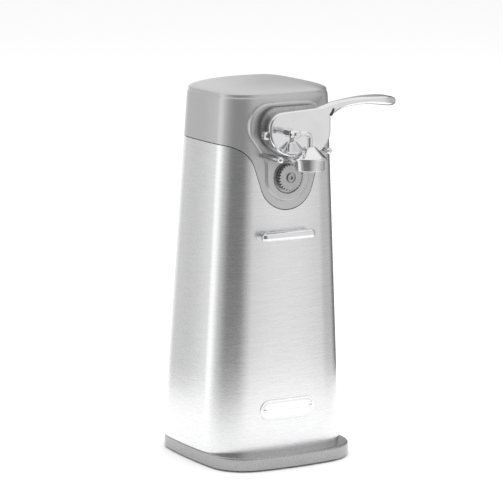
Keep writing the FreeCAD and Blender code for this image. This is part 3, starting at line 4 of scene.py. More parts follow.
import bmesh
import bpy
import numpy as np
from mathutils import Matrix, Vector


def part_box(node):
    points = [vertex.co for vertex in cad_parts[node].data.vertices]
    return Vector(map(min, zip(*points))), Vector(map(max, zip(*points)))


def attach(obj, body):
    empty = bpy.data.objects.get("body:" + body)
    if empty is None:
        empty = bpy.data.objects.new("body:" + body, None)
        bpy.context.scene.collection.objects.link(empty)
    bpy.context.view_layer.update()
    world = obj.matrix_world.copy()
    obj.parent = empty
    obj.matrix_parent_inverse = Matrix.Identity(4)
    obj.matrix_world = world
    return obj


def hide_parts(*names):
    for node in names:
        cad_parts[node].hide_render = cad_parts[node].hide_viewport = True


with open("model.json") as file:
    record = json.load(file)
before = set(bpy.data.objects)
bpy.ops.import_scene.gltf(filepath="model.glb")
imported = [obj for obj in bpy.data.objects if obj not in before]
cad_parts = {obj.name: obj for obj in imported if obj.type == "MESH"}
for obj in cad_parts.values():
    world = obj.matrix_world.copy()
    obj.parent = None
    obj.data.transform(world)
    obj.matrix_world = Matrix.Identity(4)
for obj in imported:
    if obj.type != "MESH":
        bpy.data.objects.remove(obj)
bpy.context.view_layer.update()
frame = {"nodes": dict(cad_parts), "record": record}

MM = 0.001


def low(node):
    """A node's lowest corner in millimetres."""
    return [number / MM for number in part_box(node)[0]]


def high(node):
    return [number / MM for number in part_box(node)[1]]


def middle(node):
    return [(a + b) / 2 for a, b in zip(low(node), high(node))]


# ---------------------------------------------------------------- camera

CAMERA_AZIMUTH = math.radians(-29.7)
CAMERA_ELEVATION = math.radians(10.22)
CAMERA_DISTANCE = 2.130
CAMERA_TARGET = Vector((0, 0.00695, 0.14805))
CAMERA_LENS = 208.7
CAMERA_SENSOR = 36.0


def make_camera():
    data = bpy.data.cameras.new("photo_camera")
    data.lens = CAMERA_LENS
    data.sensor_width = CAMERA_SENSOR
    data.clip_end = 100
    camera = bpy.data.objects.new("photo_camera", data)
    bpy.context.scene.collection.objects.link(camera)
    flat = math.cos(CAMERA_ELEVATION)
    away = Vector((
        math.sin(CAMERA_AZIMUTH) * flat,
        -math.cos(CAMERA_AZIMUTH) * flat,
        math.sin(CAMERA_ELEVATION),
    ))
    camera.location = CAMERA_TARGET + away * CAMERA_DISTANCE
    camera.rotation_euler = (-away).to_track_quat("-Z", "Y").to_euler()
    bpy.context.scene.camera = camera


make_camera()

# ---------------------------------------------------------------- sizes shared with the frame, in millimetres

HALF_WIDTH = 57.2
HALF_DEPTH = 61.05
BASE_BOTTOM = low("base_plinth")[2]
BASE_TOP = low("steel_sleeve")[2]
TOP = high("top_housing")[2]
CROWN_RISE, CROWN_EDGE = 7.0, 3.0
RIM = TOP - CROWN_RISE - CROWN_EDGE
CROWN_HALF = 44.45
RIM_ROUND, RIM_INSET = 3.5, 0.9
LEDGE, FRONT_LEAN, BACK_LEAN = 13.9, 1.9, 20.0
SIDE_BOW, FRONT_BOW, CORNER = 393.0, 233.7, 28.3
SEAM = 234.2
SEAM_GAP = 0.35
TONGUE_BOTTOM, TONGUE_HALF, TONGUE_ROUND = 186.6, 15.9, 21.6
FLARE_X, FLARE_ROUND = 31.0, 23.0
BOSS_FRONT = 46.8
BOSS_HALF, BOSS_LOW, BOSS_TOP = 31.0, 241.5, 264.0
WAIST_HALF, WAIST_HEIGHT, BOSS_BOTTOM = 17.8, 222.0, 192.5
RECESS_RADIUS, RECESS_DEPTH = 11.6, 1.2

WHEEL = middle("drive_wheel")

# ---------------------------------------------------------------- materials


def new_material(name):
    material = bpy.data.materials.new(name)
    material.use_nodes = True
    nodes = material.node_tree.nodes
    return material, nodes, material.node_tree.links, nodes["Principled BSDF"]


def stretched_noise(nodes, links, scale, stretch, detail=3.0):
    """Noise over the object's own coordinates, drawn out along some axes."""
    place = nodes.new("ShaderNodeTexCoord")
    mapping = nodes.new("ShaderNodeMapping")
    mapping.inputs["Scale"].default_value = stretch
    noise = nodes.new("ShaderNodeTexNoise")
    noise.inputs["Scale"].default_value = scale
    noise.inputs["Detail"].default_value = detail
    links.new(place.outputs["Object"], mapping.inputs["Vector"])
    links.new(mapping.outputs["Vector"], noise.inputs["Vector"])
    return noise


def ranged(nodes, links, source, lowest, highest):
    spread = nodes.new("ShaderNodeMapRange")
    spread.inputs["To Min"].default_value = lowest
    spread.inputs["To Max"].default_value = highest
    links.new(source, spread.inputs["Value"])
    return spread.outputs["Result"]


def tinted(nodes, links, source, dark, light):
    ramp = nodes.new("ShaderNodeValToRGB")
    ramp.color_ramp.elements[0].color = (*dark, 1)
    ramp.color_ramp.elements[1].color = (*light, 1)
    ramp.color_ramp.elements[0].position = 0.3
    ramp.color_ramp.elements[1].position = 0.7
    links.new(source, ramp.inputs["Fac"])
    return ramp.outputs["Color"]


def bumped(nodes, links, bsdf, source, strength, distance):
    bump = nodes.new("ShaderNodeBump")
    bump.inputs["Strength"].default_value = strength
    bump.inputs["Distance"].default_value = distance
    links.new(source, bump.inputs["Height"])
    links.new(bump.outputs["Normal"], bsdf.inputs["Normal"])


def surface(name, dark, light, metallic, rough, grain, stretch=(1, 1, 1), bump=0.1, depth=0.00005,
            coat=0.0, anisotropic=0.0):
    """One procedural finish: a grain that varies colour and roughness and lifts the surface a little."""
    material, nodes, links, bsdf = new_material(name)
    fine = stretched_noise(nodes, links, grain, stretch)
    broad = stretched_noise(nodes, links, grain / 14, (1, 1, 1), 2.0)
    bsdf.inputs["Metallic"].default_value = metallic
    links.new(tinted(nodes, links, fine.outputs["Fac"], dark, light), bsdf.inputs["Base Color"])
    mix = nodes.new("ShaderNodeMath")
    mix.operation = "MULTIPLY"
    links.new(ranged(nodes, links, fine.outputs["Fac"], rough[0], rough[1]), mix.inputs[0])
    links.new(ranged(nodes, links, broad.outputs["Fac"], 0.9, 1.1), mix.inputs[1])
    links.new(mix.outputs["Value"], bsdf.inputs["Roughness"])
    if coat:
        bsdf.inputs["Coat Weight"].default_value = coat
        bsdf.inputs["Coat Roughness"].default_value = 0.12
    if anisotropic:
        bsdf.inputs["Anisotropic"].default_value = anisotropic
    bumped(nodes, links, bsdf, fine.outputs["Fac"], bump, depth)
    return material


def grey(level):
    return (level, level, level * 1.01)


FINISHES = {
    "brushed_steel": surface("brushed_steel", grey(0.78), grey(0.88), 1.0, (0.23, 0.32), 60,
                             (1, 1, 60), 0.10, 0.00004),
    "silver_paint": surface("silver_paint", grey(0.50), grey(0.55), 0.8, (0.30, 0.36), 1500, bump=0.06),
    "base_grey": surface("base_grey", grey(0.36), grey(0.40), 0.75, (0.24, 0.30), 1200, bump=0.06),
    "chrome": surface("chrome", grey(0.79), grey(0.83), 1.0, (0.03, 0.06), 90, bump=0.01),
    "zinc_steel": surface("zinc_steel", grey(0.38), grey(0.48), 1.0, (0.25, 0.38), 300),
    "steel": surface("steel", grey(0.44), grey(0.52), 1.0, (0.22, 0.34), 260),
    "badge": surface("badge", grey(0.86), grey(0.90), 0.6, (0.22, 0.30), 90, (1, 1, 20), 0.05),
    "rubber": surface("rubber", grey(0.02), grey(0.035), 0.0, (0.75, 0.9), 700, bump=0.3),
    "black_plastic": surface("black_plastic", grey(0.02), grey(0.03), 0.0, (0.4, 0.55), 900, bump=0.2),
    "acetal": surface("acetal", (0.74, 0.72, 0.66), (0.80, 0.78, 0.72), 0.0, (0.35, 0.45), 500),
    "bronze": surface("bronze", (0.42, 0.27, 0.12), (0.52, 0.35, 0.17), 1.0, (0.35, 0.5), 600),
    "copper": surface("copper", (0.45, 0.16, 0.06), (0.60, 0.24, 0.10), 0.7, (0.3, 0.4), 200,
                      (1, 40, 1), 0.4),
    "iron": surface("iron", grey(0.12), grey(0.18), 0.8, (0.4, 0.6), 80, (1, 30, 1), 0.5, 0.0002),
    "ferrite": surface("ferrite", grey(0.70), grey(0.78), 1.0, (0.16, 0.24), 240, (1, 1, 6)),
}
SLOTS = {part["node"]: part["material_slot"] for part in frame["record"]["subparts"]}
for node_name, node_object in frame["nodes"].items():
    finish = FINISHES[SLOTS[node_name]]
    if node_object.data.materials:
        for index in range(len(node_object.data.materials)):
            node_object.data.materials[index] = finish
    else:
        node_object.data.materials.append(finish)

# ---------------------------------------------------------------- mesh helpers

SMOOTH_ANGLE = math.radians(38)


def make_piece(name, verts, faces, body, slot, replaced=(), smooth=SMOOTH_ANGLE):
    """A mesh given in millimetres, in the frame's own axes, that rides on a body."""
    mesh = bpy.data.meshes.new(name)
    mesh.from_pydata([tuple(float(number) * MM for number in vert) for vert in verts], [], faces)
    mesh.validate()
    tidy = bmesh.new()
    tidy.from_mesh(mesh)
    bmesh.ops.remove_doubles(tidy, verts=tidy.verts, dist=0.000002)
    bmesh.ops.recalc_face_normals(tidy, faces=tidy.faces)
    tidy.to_mesh(mesh)
    tidy.free()
    mesh.shade_smooth()
    mesh.set_sharp_from_angle(angle=smooth)
    piece = bpy.data.objects.new(name, mesh)
    bpy.context.scene.collection.objects.link(piece)
    mesh.materials.append(FINISHES[slot])
    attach(piece, body)
    if replaced:
        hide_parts(*replaced)
    return piece


def skin(rows, ring=True, loop=False):
    """Points and faces of a surface through rows of points.

    Rows may be closed rings, and the last may join the first.
    """
    rows = [np.asarray(row, float) for row in rows]
    count = len(rows[0])
    verts = np.concatenate(rows)
    faces = []
    total = len(rows)
    for i in range(total if loop else total - 1):
        here, there = i * count, ((i + 1) % total) * count
        for j in range(count if ring else count - 1):
            k = (j + 1) % count
            faces.append((here + j, here + k, there + k, there + j))
    return verts, faces


def lathe_rows(profile, origin, axis, segments=64):
    """Rings of a turned shape. The profile is (distance along the axis, radius) from the origin."""
    axis = np.asarray(axis, float)
    side = np.cross(axis, (0, 0, 1)) if abs(axis[2]) < 0.9 else np.cross(axis, (1, 0, 0))
    side /= np.linalg.norm(side)
    other = np.cross(axis, side)
    angles = np.linspace(0, 2 * math.pi, segments, endpoint=False)
    round_rows = np.outer(np.cos(angles), side) + np.outer(np.sin(angles), other)
    return [np.asarray(origin) + axis * along + round_rows * max(radius, 0.001) for along, radius in profile]


def join(*parts):
    """Several (points, faces) pairs as one."""
    verts, faces, start = [], [], 0
    for part_verts, part_faces in parts:
        verts.append(np.asarray(part_verts))
        faces += [tuple(index + start for index in face) for face in part_faces]
        start += len(part_verts)
    return np.concatenate(verts), faces


def turned(profile, origin, axis, segments=64):
    return skin(lathe_rows(profile, origin, axis, segments))


def round_end(radius, steps):
    """Profile of a ball end, from near its tip to its widest."""
    angles = np.radians(np.linspace(8, 90, steps))
    return [(radius - radius * math.cos(angle), radius * math.sin(angle)) for angle in angles]


def smooth_step(share):
    share = np.clip(share, 0, 1)
    return share * share * (3 - 2 * share)


def rounded_points(corners, step=0.5):
    """Points round an outline with straight sides and rounded corners."""
    arcs = []
    count = len(corners)
    for i, (x, y, radius) in enumerate(corners):
        here = np.array((x, y), float)
        before = np.array(corners[i - 1][:2]) - here
        after = np.array(corners[(i + 1) % count][:2]) - here
        before /= np.linalg.norm(before)
        after /= np.linalg.norm(after)
        half = math.acos(np.clip(before @ after, -1, 1)) / 2
        start = here + before * radius / math.tan(half)
        end = here + after * radius / math.tan(half)
        bisector = (before + after) / np.linalg.norm(before + after)
        centre = here + bisector * radius / math.sin(half)
        first = math.atan2(*(start - centre)[::-1])
        sweep = math.atan2(*(end - centre)[::-1]) - first
        sweep = (sweep + math.pi) % (2 * math.pi) - math.pi
        steps = max(3, int(abs(sweep) * radius / step))
        angles = [first + sweep * share for share in np.linspace(0, 1, steps + 1)]
        arcs.append([centre + radius * np.array((math.cos(angle), math.sin(angle))) for angle in angles])
    points = []
    for here, following in zip(arcs, arcs[1:] + arcs[:1]):
        start, end = here[-1], following[0]
        steps = max(2, int(np.linalg.norm(end - start) / step))
        points += here + [start + (end - start) * share for share in np.linspace(0, 1, steps + 1)[1:-1]]
    return np.array(points)


def signed_distance(points, outline):
    """How far inside an outline each point is. Outside is negative."""
    best = np.full(len(points), 1e9)
    inside = np.zeros(len(points), bool)
    for (x0, y0), (x1, y1) in zip(outline, np.roll(outline, -1, axis=0)):
        edge = np.array((x1 - x0, y1 - y0))
        rel = points - (x0, y0)
        t = np.clip(rel @ edge / max(edge @ edge, 1e-12), 0, 1)
        best = np.minimum(best, np.linalg.norm(rel - t[:, None] * edge, axis=1))
        crosses = (y0 > points[:, 1]) != (y1 > points[:, 1])
        if y1 != y0:
            at = (x1 - x0) * (points[:, 1] - y0) / (y1 - y0) + x0
            inside ^= crosses & (points[:, 0] < at)
    return np.where(inside, best, -best)


# ---------------------------------------------------------------- the body's section


def bowed_ring(half_width, half_depth, side_bow, front_bow, corner, centre_y, counts):
    """Points round a rectangle with long arcs for sides.

    counts are for side, back corner, back, front corner and front.
    """
    side_centre = np.array((half_width - side_bow, 0.0))
    front_centre = np.array((0.0, half_depth - front_bow))
    line = front_centre - side_centre
    length = np.linalg.norm(line)
    reach_side, reach_front = side_bow - corner, front_bow - corner
    along = (reach_side**2 - reach_front**2 + length**2) / (2 * length)
    across = math.sqrt(max(reach_side**2 - along**2, 0))
    unit = line / length
    centre = side_centre + unit * along + np.array((-unit[1], unit[0])) * across
    to_side = (centre - side_centre) / reach_side
    to_front = (centre - front_centre) / reach_front
    side_angle = math.atan2(to_side[1], to_side[0])
    front_angle = math.atan2(to_front[1], to_front[0])

    def sweep(origin, radius, first, last, count):
        angles = np.linspace(first, last, count, endpoint=False)
        return np.stack([origin[0] + radius * np.cos(angles), origin[1] + radius * np.sin(angles)], 1)

    side_count, back_corner, back_count, front_corner, front_count = counts
    half_turn = math.pi
    stretches = [
        sweep(side_centre, side_bow, -side_angle, side_angle, side_count),
        sweep(centre, corner, side_angle, front_angle, back_corner),
        sweep(front_centre, front_bow, front_angle, half_turn - front_angle, back_count),
        sweep((-centre[0], centre[1]), corner, half_turn - front_angle, half_turn - side_angle, back_corner),
        sweep(-side_centre, side_bow, half_turn - side_angle, half_turn + side_angle, side_count),
        sweep(-centre, corner, half_turn + side_angle, half_turn + front_angle, front_corner),
        sweep(-front_centre, front_bow, half_turn + front_angle, 2 * half_turn - front_angle, front_count),
        sweep((centre[0], -centre[1]), corner, 2 * half_turn - front_angle, 2 * half_turn - side_angle,
              front_corner),
    ]
    ring = np.concatenate(stretches)
    ring[:, 1] += centre_y
    return ring


def body_ring(height, inset, counts):
    rise = (height - BASE_TOP) / (RIM - BASE_TOP)
    half = HALF_WIDTH + rise * (CROWN_HALF - HALF_WIDTH)
    front = LEDGE - HALF_DEPTH + rise * FRONT_LEAN
    back = HALF_DEPTH - rise * BACK_LEAN
    share = half / HALF_WIDTH
    return bowed_ring(half - inset, (back - front) / 2 - inset, SIDE_BOW * share - inset,
                      FRONT_BOW * share - inset, CORNER * share - inset, (front + back) / 2, counts)


COUNTS = (36, 30, 50, 96, 130)


def seam_edge(x, gap):
    """Height of the joint line between sleeve and housing at a distance from the middle of the front."""
    x = abs(x)
    lean = math.atan2(FLARE_X - TONGUE_HALF, SEAM - TONGUE_BOTTOM)
    reach = TONGUE_ROUND * math.tan((math.pi / 2 - lean) / 2)
    centre_x, centre_z = TONGUE_HALF - reach, TONGUE_BOTTOM + TONGUE_ROUND
    radius = TONGUE_ROUND + gap
    start_x, start_z = centre_x + radius * math.cos(lean), centre_z - radius * math.sin(lean)
    flare_reach = FLARE_ROUND * math.tan((math.pi / 2 - lean) / 2)
    flare_x, flare_z = FLARE_X + flare_reach, SEAM - FLARE_ROUND
    flare_radius = FLARE_ROUND - gap
    end_x = flare_x - flare_radius * math.cos(lean)
    if x < start_x:
        return centre_z - math.sqrt(max(radius**2 - max(x - centre_x, 0) ** 2, 0))
    if x < end_x:
        return start_z + (x - start_x) / math.tan(lean)
    if x < flare_x:
        return flare_z + math.sqrt(max(flare_radius**2 - (flare_x - x) ** 2, 0))
    return SEAM - gap


def column_edges(inset, gap):
    """The foot and head of each column of the body's grid, and where the joint line crosses it."""
    foot = body_ring(BASE_TOP, inset, COUNTS)
    head = body_ring(RIM, inset, COUNTS)
    edges = []
    for (x0, y0), (x1, y1) in zip(foot, head):
        height = SEAM - gap
        if y0 < 0:
            for _ in range(12):
                rise = (height - BASE_TOP) / (RIM - BASE_TOP)
                height = 0.5 * height + 0.5 * seam_edge(x0 + rise * (x1 - x0), gap)
        edges.append(height)
    return foot, head, np.array(edges)


def column_points(foot, head, heights):
    rise = ((heights - BASE_TOP) / (RIM - BASE_TOP))[:, None]
    flat = foot + rise * (head - foot)
    return np.column_stack([flat, heights])


# ---------------------------------------------------------------- body pieces


SLEEVE_WALL, SLEEVE_LIP = 0.8, 0.12
HOUSING_WALL, SEAM_STEP = 2.2, 0.15


def steel_sleeve():
    foot, head, edges = column_edges(0, SEAM_GAP)
    inner_foot, inner_head, _ = column_edges(SLEEVE_WALL, SEAM_GAP)
    shares = np.concatenate([np.linspace(0, 0.9, 40), np.linspace(0.9, 1, 12)[1:]])
    rows = []
    for share in shares:
        rows.append(column_points(foot, head, BASE_TOP + share * (edges - SLEEVE_LIP - BASE_TOP)))
    turn_in = np.column_stack([(inner_foot - foot) * 0.2, np.zeros(len(edges))])
    rows.append(column_points(foot, head, edges) + turn_in)
    rows.append(column_points(inner_foot, inner_head, edges))
    for share in shares[::-6]:
        rows.append(column_points(inner_foot, inner_head, BASE_TOP + share * (edges - BASE_TOP)))
    rows.append(column_points(inner_foot, inner_head, np.full(len(edges), BASE_TOP)))
    make_piece("sleeve_skin", *skin(rows, loop=True), "frame", "brushed_steel", ["steel_sleeve"])


BOSS_CORNERS = [
    (-WAIST_HALF, BOSS_BOTTOM, WAIST_HALF - 0.1), (WAIST_HALF, BOSS_BOTTOM, WAIST_HALF - 0.1),
    (WAIST_HALF, WAIST_HEIGHT, 12), (BOSS_HALF, BOSS_LOW, 12), (BOSS_HALF, BOSS_TOP, 16),
    (-BOSS_HALF, BOSS_TOP, 16), (-BOSS_HALF, BOSS_LOW, 12), (-WAIST_HALF, WAIST_HEIGHT, 12),
]


def boss_surface(points):
    """Moves the housing's front out to the flat boss, and sinks the recess behind the wheel."""
    front = points[:, 1] < -20
    chosen = points[front]
    outline = rounded_points(BOSS_CORNERS, 0.6)
    inside = signed_distance(chosen[:, [0, 2]], outline)
    edge = 1.6
    depth = np.clip(inside, 0, edge)
    rounded = -BOSS_FRONT + edge - np.sqrt(np.maximum(edge**2 - (edge - depth) ** 2, 0))
    wanted = np.where(inside > 0, np.minimum(rounded, chosen[:, 1]), chosen[:, 1])
    near = np.hypot(chosen[:, 0] - WHEEL[0], chosen[:, 2] - WHEEL[2])
    wanted += RECESS_DEPTH * smooth_step((RECESS_RADIUS + 0.35 - near) / 0.7)
    result = points.copy()
    result[front, 1] = wanted
    return result


def top_housing():
    foot, head, edges = column_edges(0, 0)
    rows = [column_points(foot, head, edges + SEAM_STEP)]
    inner_foot, inner_head, _ = column_edges(HOUSING_WALL, 0)
    start = column_points(inner_foot, inner_head, edges + SEAM_STEP)
    shares = np.concatenate([np.linspace(0, 0.94, 190)[1:], np.linspace(0.94, 1, 14)[1:]])
    for share in shares:
        rows.append(column_points(foot, head, edges + share * (RIM - edges)))
    rows = [boss_surface(row) for row in rows]
    middle_y = (head[:, 1].min() + head[:, 1].max()) / 2
    for row in rows:
        turn = np.clip((row[:, 2] - RIM + RIM_ROUND) / RIM_ROUND, 0, 1)
        inset = RIM_INSET * (1 - np.sqrt(1 - 0.96 * turn**2))
        share = 1 - inset / CROWN_HALF
        row[:, 0] *= share
        row[:, 1] = middle_y + (row[:, 1] - middle_y) * share
    centre = np.array((0.0, middle_y))
    start_share = 1 - RIM_INSET * (1 - math.sqrt(0.04)) / CROWN_HALF
    tops = []
    angles = np.linspace(0, 1, 16)[1:]
    shares = [1 - 0.05 * (1 - math.cos(a * math.pi / 2)) for a in angles]
    shares += list(np.linspace(0.95, 0.02, 22)[1:])
    for share in np.array(shares) * start_share:
        dome = CROWN_RISE * (1 - share**2)
        edge = CROWN_EDGE * math.sqrt(max(1 - share**24, 0))
        flat = centre + (head - centre) * share
        tops.append(np.column_stack([flat, np.full(len(flat), RIM + dome + edge)]))
    verts, faces = skin([start] + rows + tops)
    last = len(verts) - len(foot)
    faces.append(tuple(range(last, len(verts))))
    make_piece("housing_shell", verts, faces, "frame", "silver_paint", ["top_housing"])


def base_plinth():
    counts = (40, 44, 60, 44, 60)
    foot = BASE_BOTTOM
    rounding, wall, deck = 1.5, 2.4, 2.4
    path = [(wall, BASE_TOP - deck), (wall, foot), (0.6, foot), (0.18, foot + 0.18), (0.0, foot + 0.6)]
    for angle in np.radians(np.linspace(0, 90, 9)):
        path.append((rounding * (1 - math.cos(angle)), BASE_TOP - rounding + rounding * math.sin(angle)))
    path.append((13.0, BASE_TOP))
    rows = []
    for inset, height in path:
        ring = bowed_ring(HALF_WIDTH - inset, HALF_DEPTH - inset, SIDE_BOW - inset, FRONT_BOW - inset,
                          CORNER - inset, 0, counts)
        rows.append(np.column_stack([ring, np.full(len(ring), height)]))
    rows.insert(0, rows[0] * (0.01, 0.01, 1))
    rows.append(rows[-1] * (0.01, 0.01, 1))
    verts, faces = skin(rows)
    count = len(rows[0])
    faces.append(tuple(range(count)))
    faces.append(tuple(range(len(verts) - count, len(verts))))
    make_piece("plinth_shell", verts, faces, "frame", "base_grey", ["base_plinth"])


def front_y(x, z, proud):
    """Depth of the body's bowed front at a place near its middle, or a little in front of it."""
    rise = (z - BASE_TOP) / (RIM - BASE_TOP)
    share = (HALF_WIDTH + rise * (CROWN_HALF - HALF_WIDTH)) / HALF_WIDTH
    bow = FRONT_BOW * share + proud
    front = LEDGE - HALF_DEPTH + rise * FRONT_LEAN - proud
    return front + bow - np.sqrt(bow**2 - x**2)


RIVET_FROM_END, BADGE_PROUD = 3.8, 0.8


def badge():
    length = high("badge_plate")[0] - low("badge_plate")[0]
    height = high("badge_plate")[2] - low("badge_plate")[2]
    centre_z = middle("badge_plate")[2]
    radius = height / 2
    corners = [(-length / 2, -radius, radius - 0.01), (length / 2, -radius, radius - 0.01),
               (length / 2, radius, radius - 0.01), (-length / 2, radius, radius - 0.01)]
    outline = rounded_points(corners, 0.6)
    rows = []
    steps = [(0.0, 0.0), (0.0, 0.55), (0.12, 0.72), (0.35, 0.8), (1.0, 0.8), (1.12, 0.72), (1.45, 0.72),
             (1.57, 0.8), (3.0, 0.8), (4.5, 0.8), (6.0, 0.8), (7.3, 0.8)]
    for inset, proud in steps:
        share = 1 - inset / radius
        spine = np.clip(outline[:, 0], -(length / 2 - radius), length / 2 - radius)
        flat = np.column_stack([spine + (outline[:, 0] - spine) * share, outline[:, 1] * share])
        z = centre_z + flat[:, 1]
        rows.append(np.column_stack([flat[:, 0], front_y(flat[:, 0], z, proud), z]))
    verts, faces = skin(rows)
    count = len(outline)
    faces.append(tuple(range(len(verts) - count, len(verts))))
    faces.append(tuple(range(count)))
    make_piece("badge_blank", verts, faces, "frame", "badge", ["badge_plate"])
    rivets = []
    for side in (-1, 1):
        x = side * (length / 2 - RIVET_FROM_END)
        y = float(front_y(np.array(x), np.array(centre_z), BADGE_PROUD))
        profile = [(-1.0, 0), (-1.0, 1.5), (0.0, 1.5), (0.2, 1.42), (0.34, 1.15), (0.42, 0.7), (0.45, 0)]
        rivets.append(turned(profile, (x, y, centre_z), (0, -1, 0), 32))
    make_piece("badge_rivet_heads", *join(*rivets), "frame", "chrome", ["badge_rivets"])


STUD_REACH, STUD_COLLAR, STUD_RADIUS, COLLAR_RADIUS = 13.0, 6.0, 1.8, 2.8


def rest_bar():
    lowest, highest = low("can_rest_bar"), high("can_rest_bar")
    radius = (highest[2] - lowest[2]) / 2
    z = (highest[2] + lowest[2]) / 2
    y = lowest[1] + radius
    half = (highest[0] - lowest[0]) / 2
    middle_x = (highest[0] + lowest[0]) / 2
    profile = [(0, 0)] + round_end(radius, 14)
    profile += [(2 * half - along, size) for along, size in profile[::-1]]
    parts = [turned(profile, (lowest[0], y, z), (1, 0, 0), 72)]
    back = highest[1] - y
    stud = [(0, 0), (0, COLLAR_RADIUS), (STUD_COLLAR, COLLAR_RADIUS), (STUD_COLLAR, STUD_RADIUS),
            (back, STUD_RADIUS), (back, 0)]
    for x in (middle_x - STUD_REACH, middle_x + STUD_REACH):
        parts.append(turned(stud, (x, y, z), (0, 1, 0), 32))
    make_piece("rest_bar", *join(*parts), "frame", "chrome", ["can_rest_bar"])


def guide_pins():
    for side in ("left", "right"):
        name = "guide_pin_" + side
        lowest, highest = low(name), high(name)
        x, _, z = middle(name)
        radius = (highest[0] - lowest[0]) / 2
        length = highest[1] - lowest[1]
        profile = [(0, 0)] + round_end(radius, 12)
        profile += [(3.4, radius), (3.5, radius - 0.14), (3.9, radius - 0.14), (4.0, radius)]
        profile += [(length, radius), (length, 0)]
        pin = turned(profile, (x, lowest[1], z), (0, 1, 0), 48)
        make_piece(name + "_turned", *pin, "frame", "chrome", [name])


# ---------------------------------------------------------------- drive wheel


WHEEL_TEETH, STEPS_PER_TOOTH, TOOTH_DEPTH = 26, 14, 1.05


def drive_wheel():
    lowest, highest = low("drive_wheel"), high("drive_wheel")
    x, _, z = WHEEL
    radius = (highest[2] - lowest[2]) / 2
    thick = highest[1] - lowest[1]
    count = WHEEL_TEETH * STEPS_PER_TOOTH
    angles = np.arange(count) * 2 * math.pi / count
    phase = (np.arange(count) % STEPS_PER_TOOTH) / STEPS_PER_TOOTH
    notch = np.where(phase < 0.22, 1 - phase / 0.22, np.where(phase > 0.62, (phase - 0.62) / 0.38, 0))
    edge = radius - TOOTH_DEPTH * notch

    def ring(size, depth):
        size = np.broadcast_to(size, angles.shape)
        depths = np.full(count, lowest[1] + depth)
        return np.column_stack([x + size * np.cos(angles), depths, z + size * np.sin(angles)])

    rows = [
        ring(1.5, thick), ring(edge - 0.5, thick), ring(edge, thick - 0.3), ring(edge, 0.35),
        ring(edge - 0.35, 0.0), ring(8.0, 0.0), ring(7.9, 0.0), ring(4.6, 0.0), ring(3.9, 0.0),
        ring(3.75, 0.12), ring(3.7, 0.9), ring(3.4, 1.0), ring(1.5, 1.0),
    ]
    make_piece("drive_wheel_cut", *skin(rows, loop=True), "drive", "steel", ["drive_wheel"], math.radians(30))


# ---------------------------------------------------------------- lever

HANDLE_TIP = high("lever_arm")[0]
PLATE_BACK = low("lever_carrier")[1]
PLATE_THICK = 7.7
PLATE_FRONT = PLATE_BACK - PLATE_THICK
PLATE_MIDDLE = (3.0, 243.5)
ROD_RADIUS, ROD_COVER = 1.7, 0.9
POST_X = -9.0
EAR_X, EAR_HEIGHT = -23.0, 242.2
# place, size and tilt of the black piece that paints the shade in the slot under the handle
NOTCH_PLACE, NOTCH_SIZE, NOTCH_TILT = (28.6, PLATE_FRONT + 2.2, 256.4), (2.0, 4.6, 6.0), math.radians(24)
LEVER_CORNERS = [(-22.2, 226.4, 19), (27.8, 226.4, 17), (27.8, 260.2, 7), (-22.2, 257.8, 11)]


def inward(points, inset):
    """An outline moved in by a small distance, along its own normals."""
    ahead = np.roll(points, -1, axis=0) - np.roll(points, 1, axis=0)
    ahead /= np.linalg.norm(ahead, axis=1)[:, None]
    return points + np.column_stack([-ahead[:, 1], ahead[:, 0]]) * inset


def lever_plate():
    outline = rounded_points(LEVER_CORNERS, 0.5)
    centre = np.array(PLATE_MIDDLE)
    rows = []

    def row(flat, y):
        rows.append(np.column_stack([flat[:, 0], np.full(len(flat), y), flat[:, 1]]))

    back_hollow = inward(outline, 2.0)
    row(centre + (back_hollow - centre) * 0.02, PLATE_BACK - 5.4)
    row(back_hollow, PLATE_BACK - 5.4)
    row(back_hollow, PLATE_BACK)
    row(inward(outline, 0.35), PLATE_BACK)
    row(outline, PLATE_BACK - 0.35)
    for angle in np.radians(np.linspace(0, 90, 9)):
        row(inward(outline, 1.7 * (1 - math.cos(angle))), PLATE_FRONT + 2.0 - 1.7 * math.sin(angle) * 0.9)
    rim = inward(outline, 2.5)
    row(rim, PLATE_FRONT + 0.42)
    row(inward(outline, 3.0), PLATE_FRONT + 0.55)
    inner = inward(outline, 3.5)
    for share in (1.0, 0.97, 0.92, 0.85, 0.75, 0.6, 0.45, 0.3, 0.15, 0.02):
        row(centre + (inner - centre) * share, PLATE_FRONT + 0.5 - 0.5 * (1 - share**2.2))
    verts, faces = skin(rows)
    count = len(outline)
    faces.append(tuple(range(count)))
    faces.append(tuple(range(len(verts) - count, len(verts))))
    return verts, faces


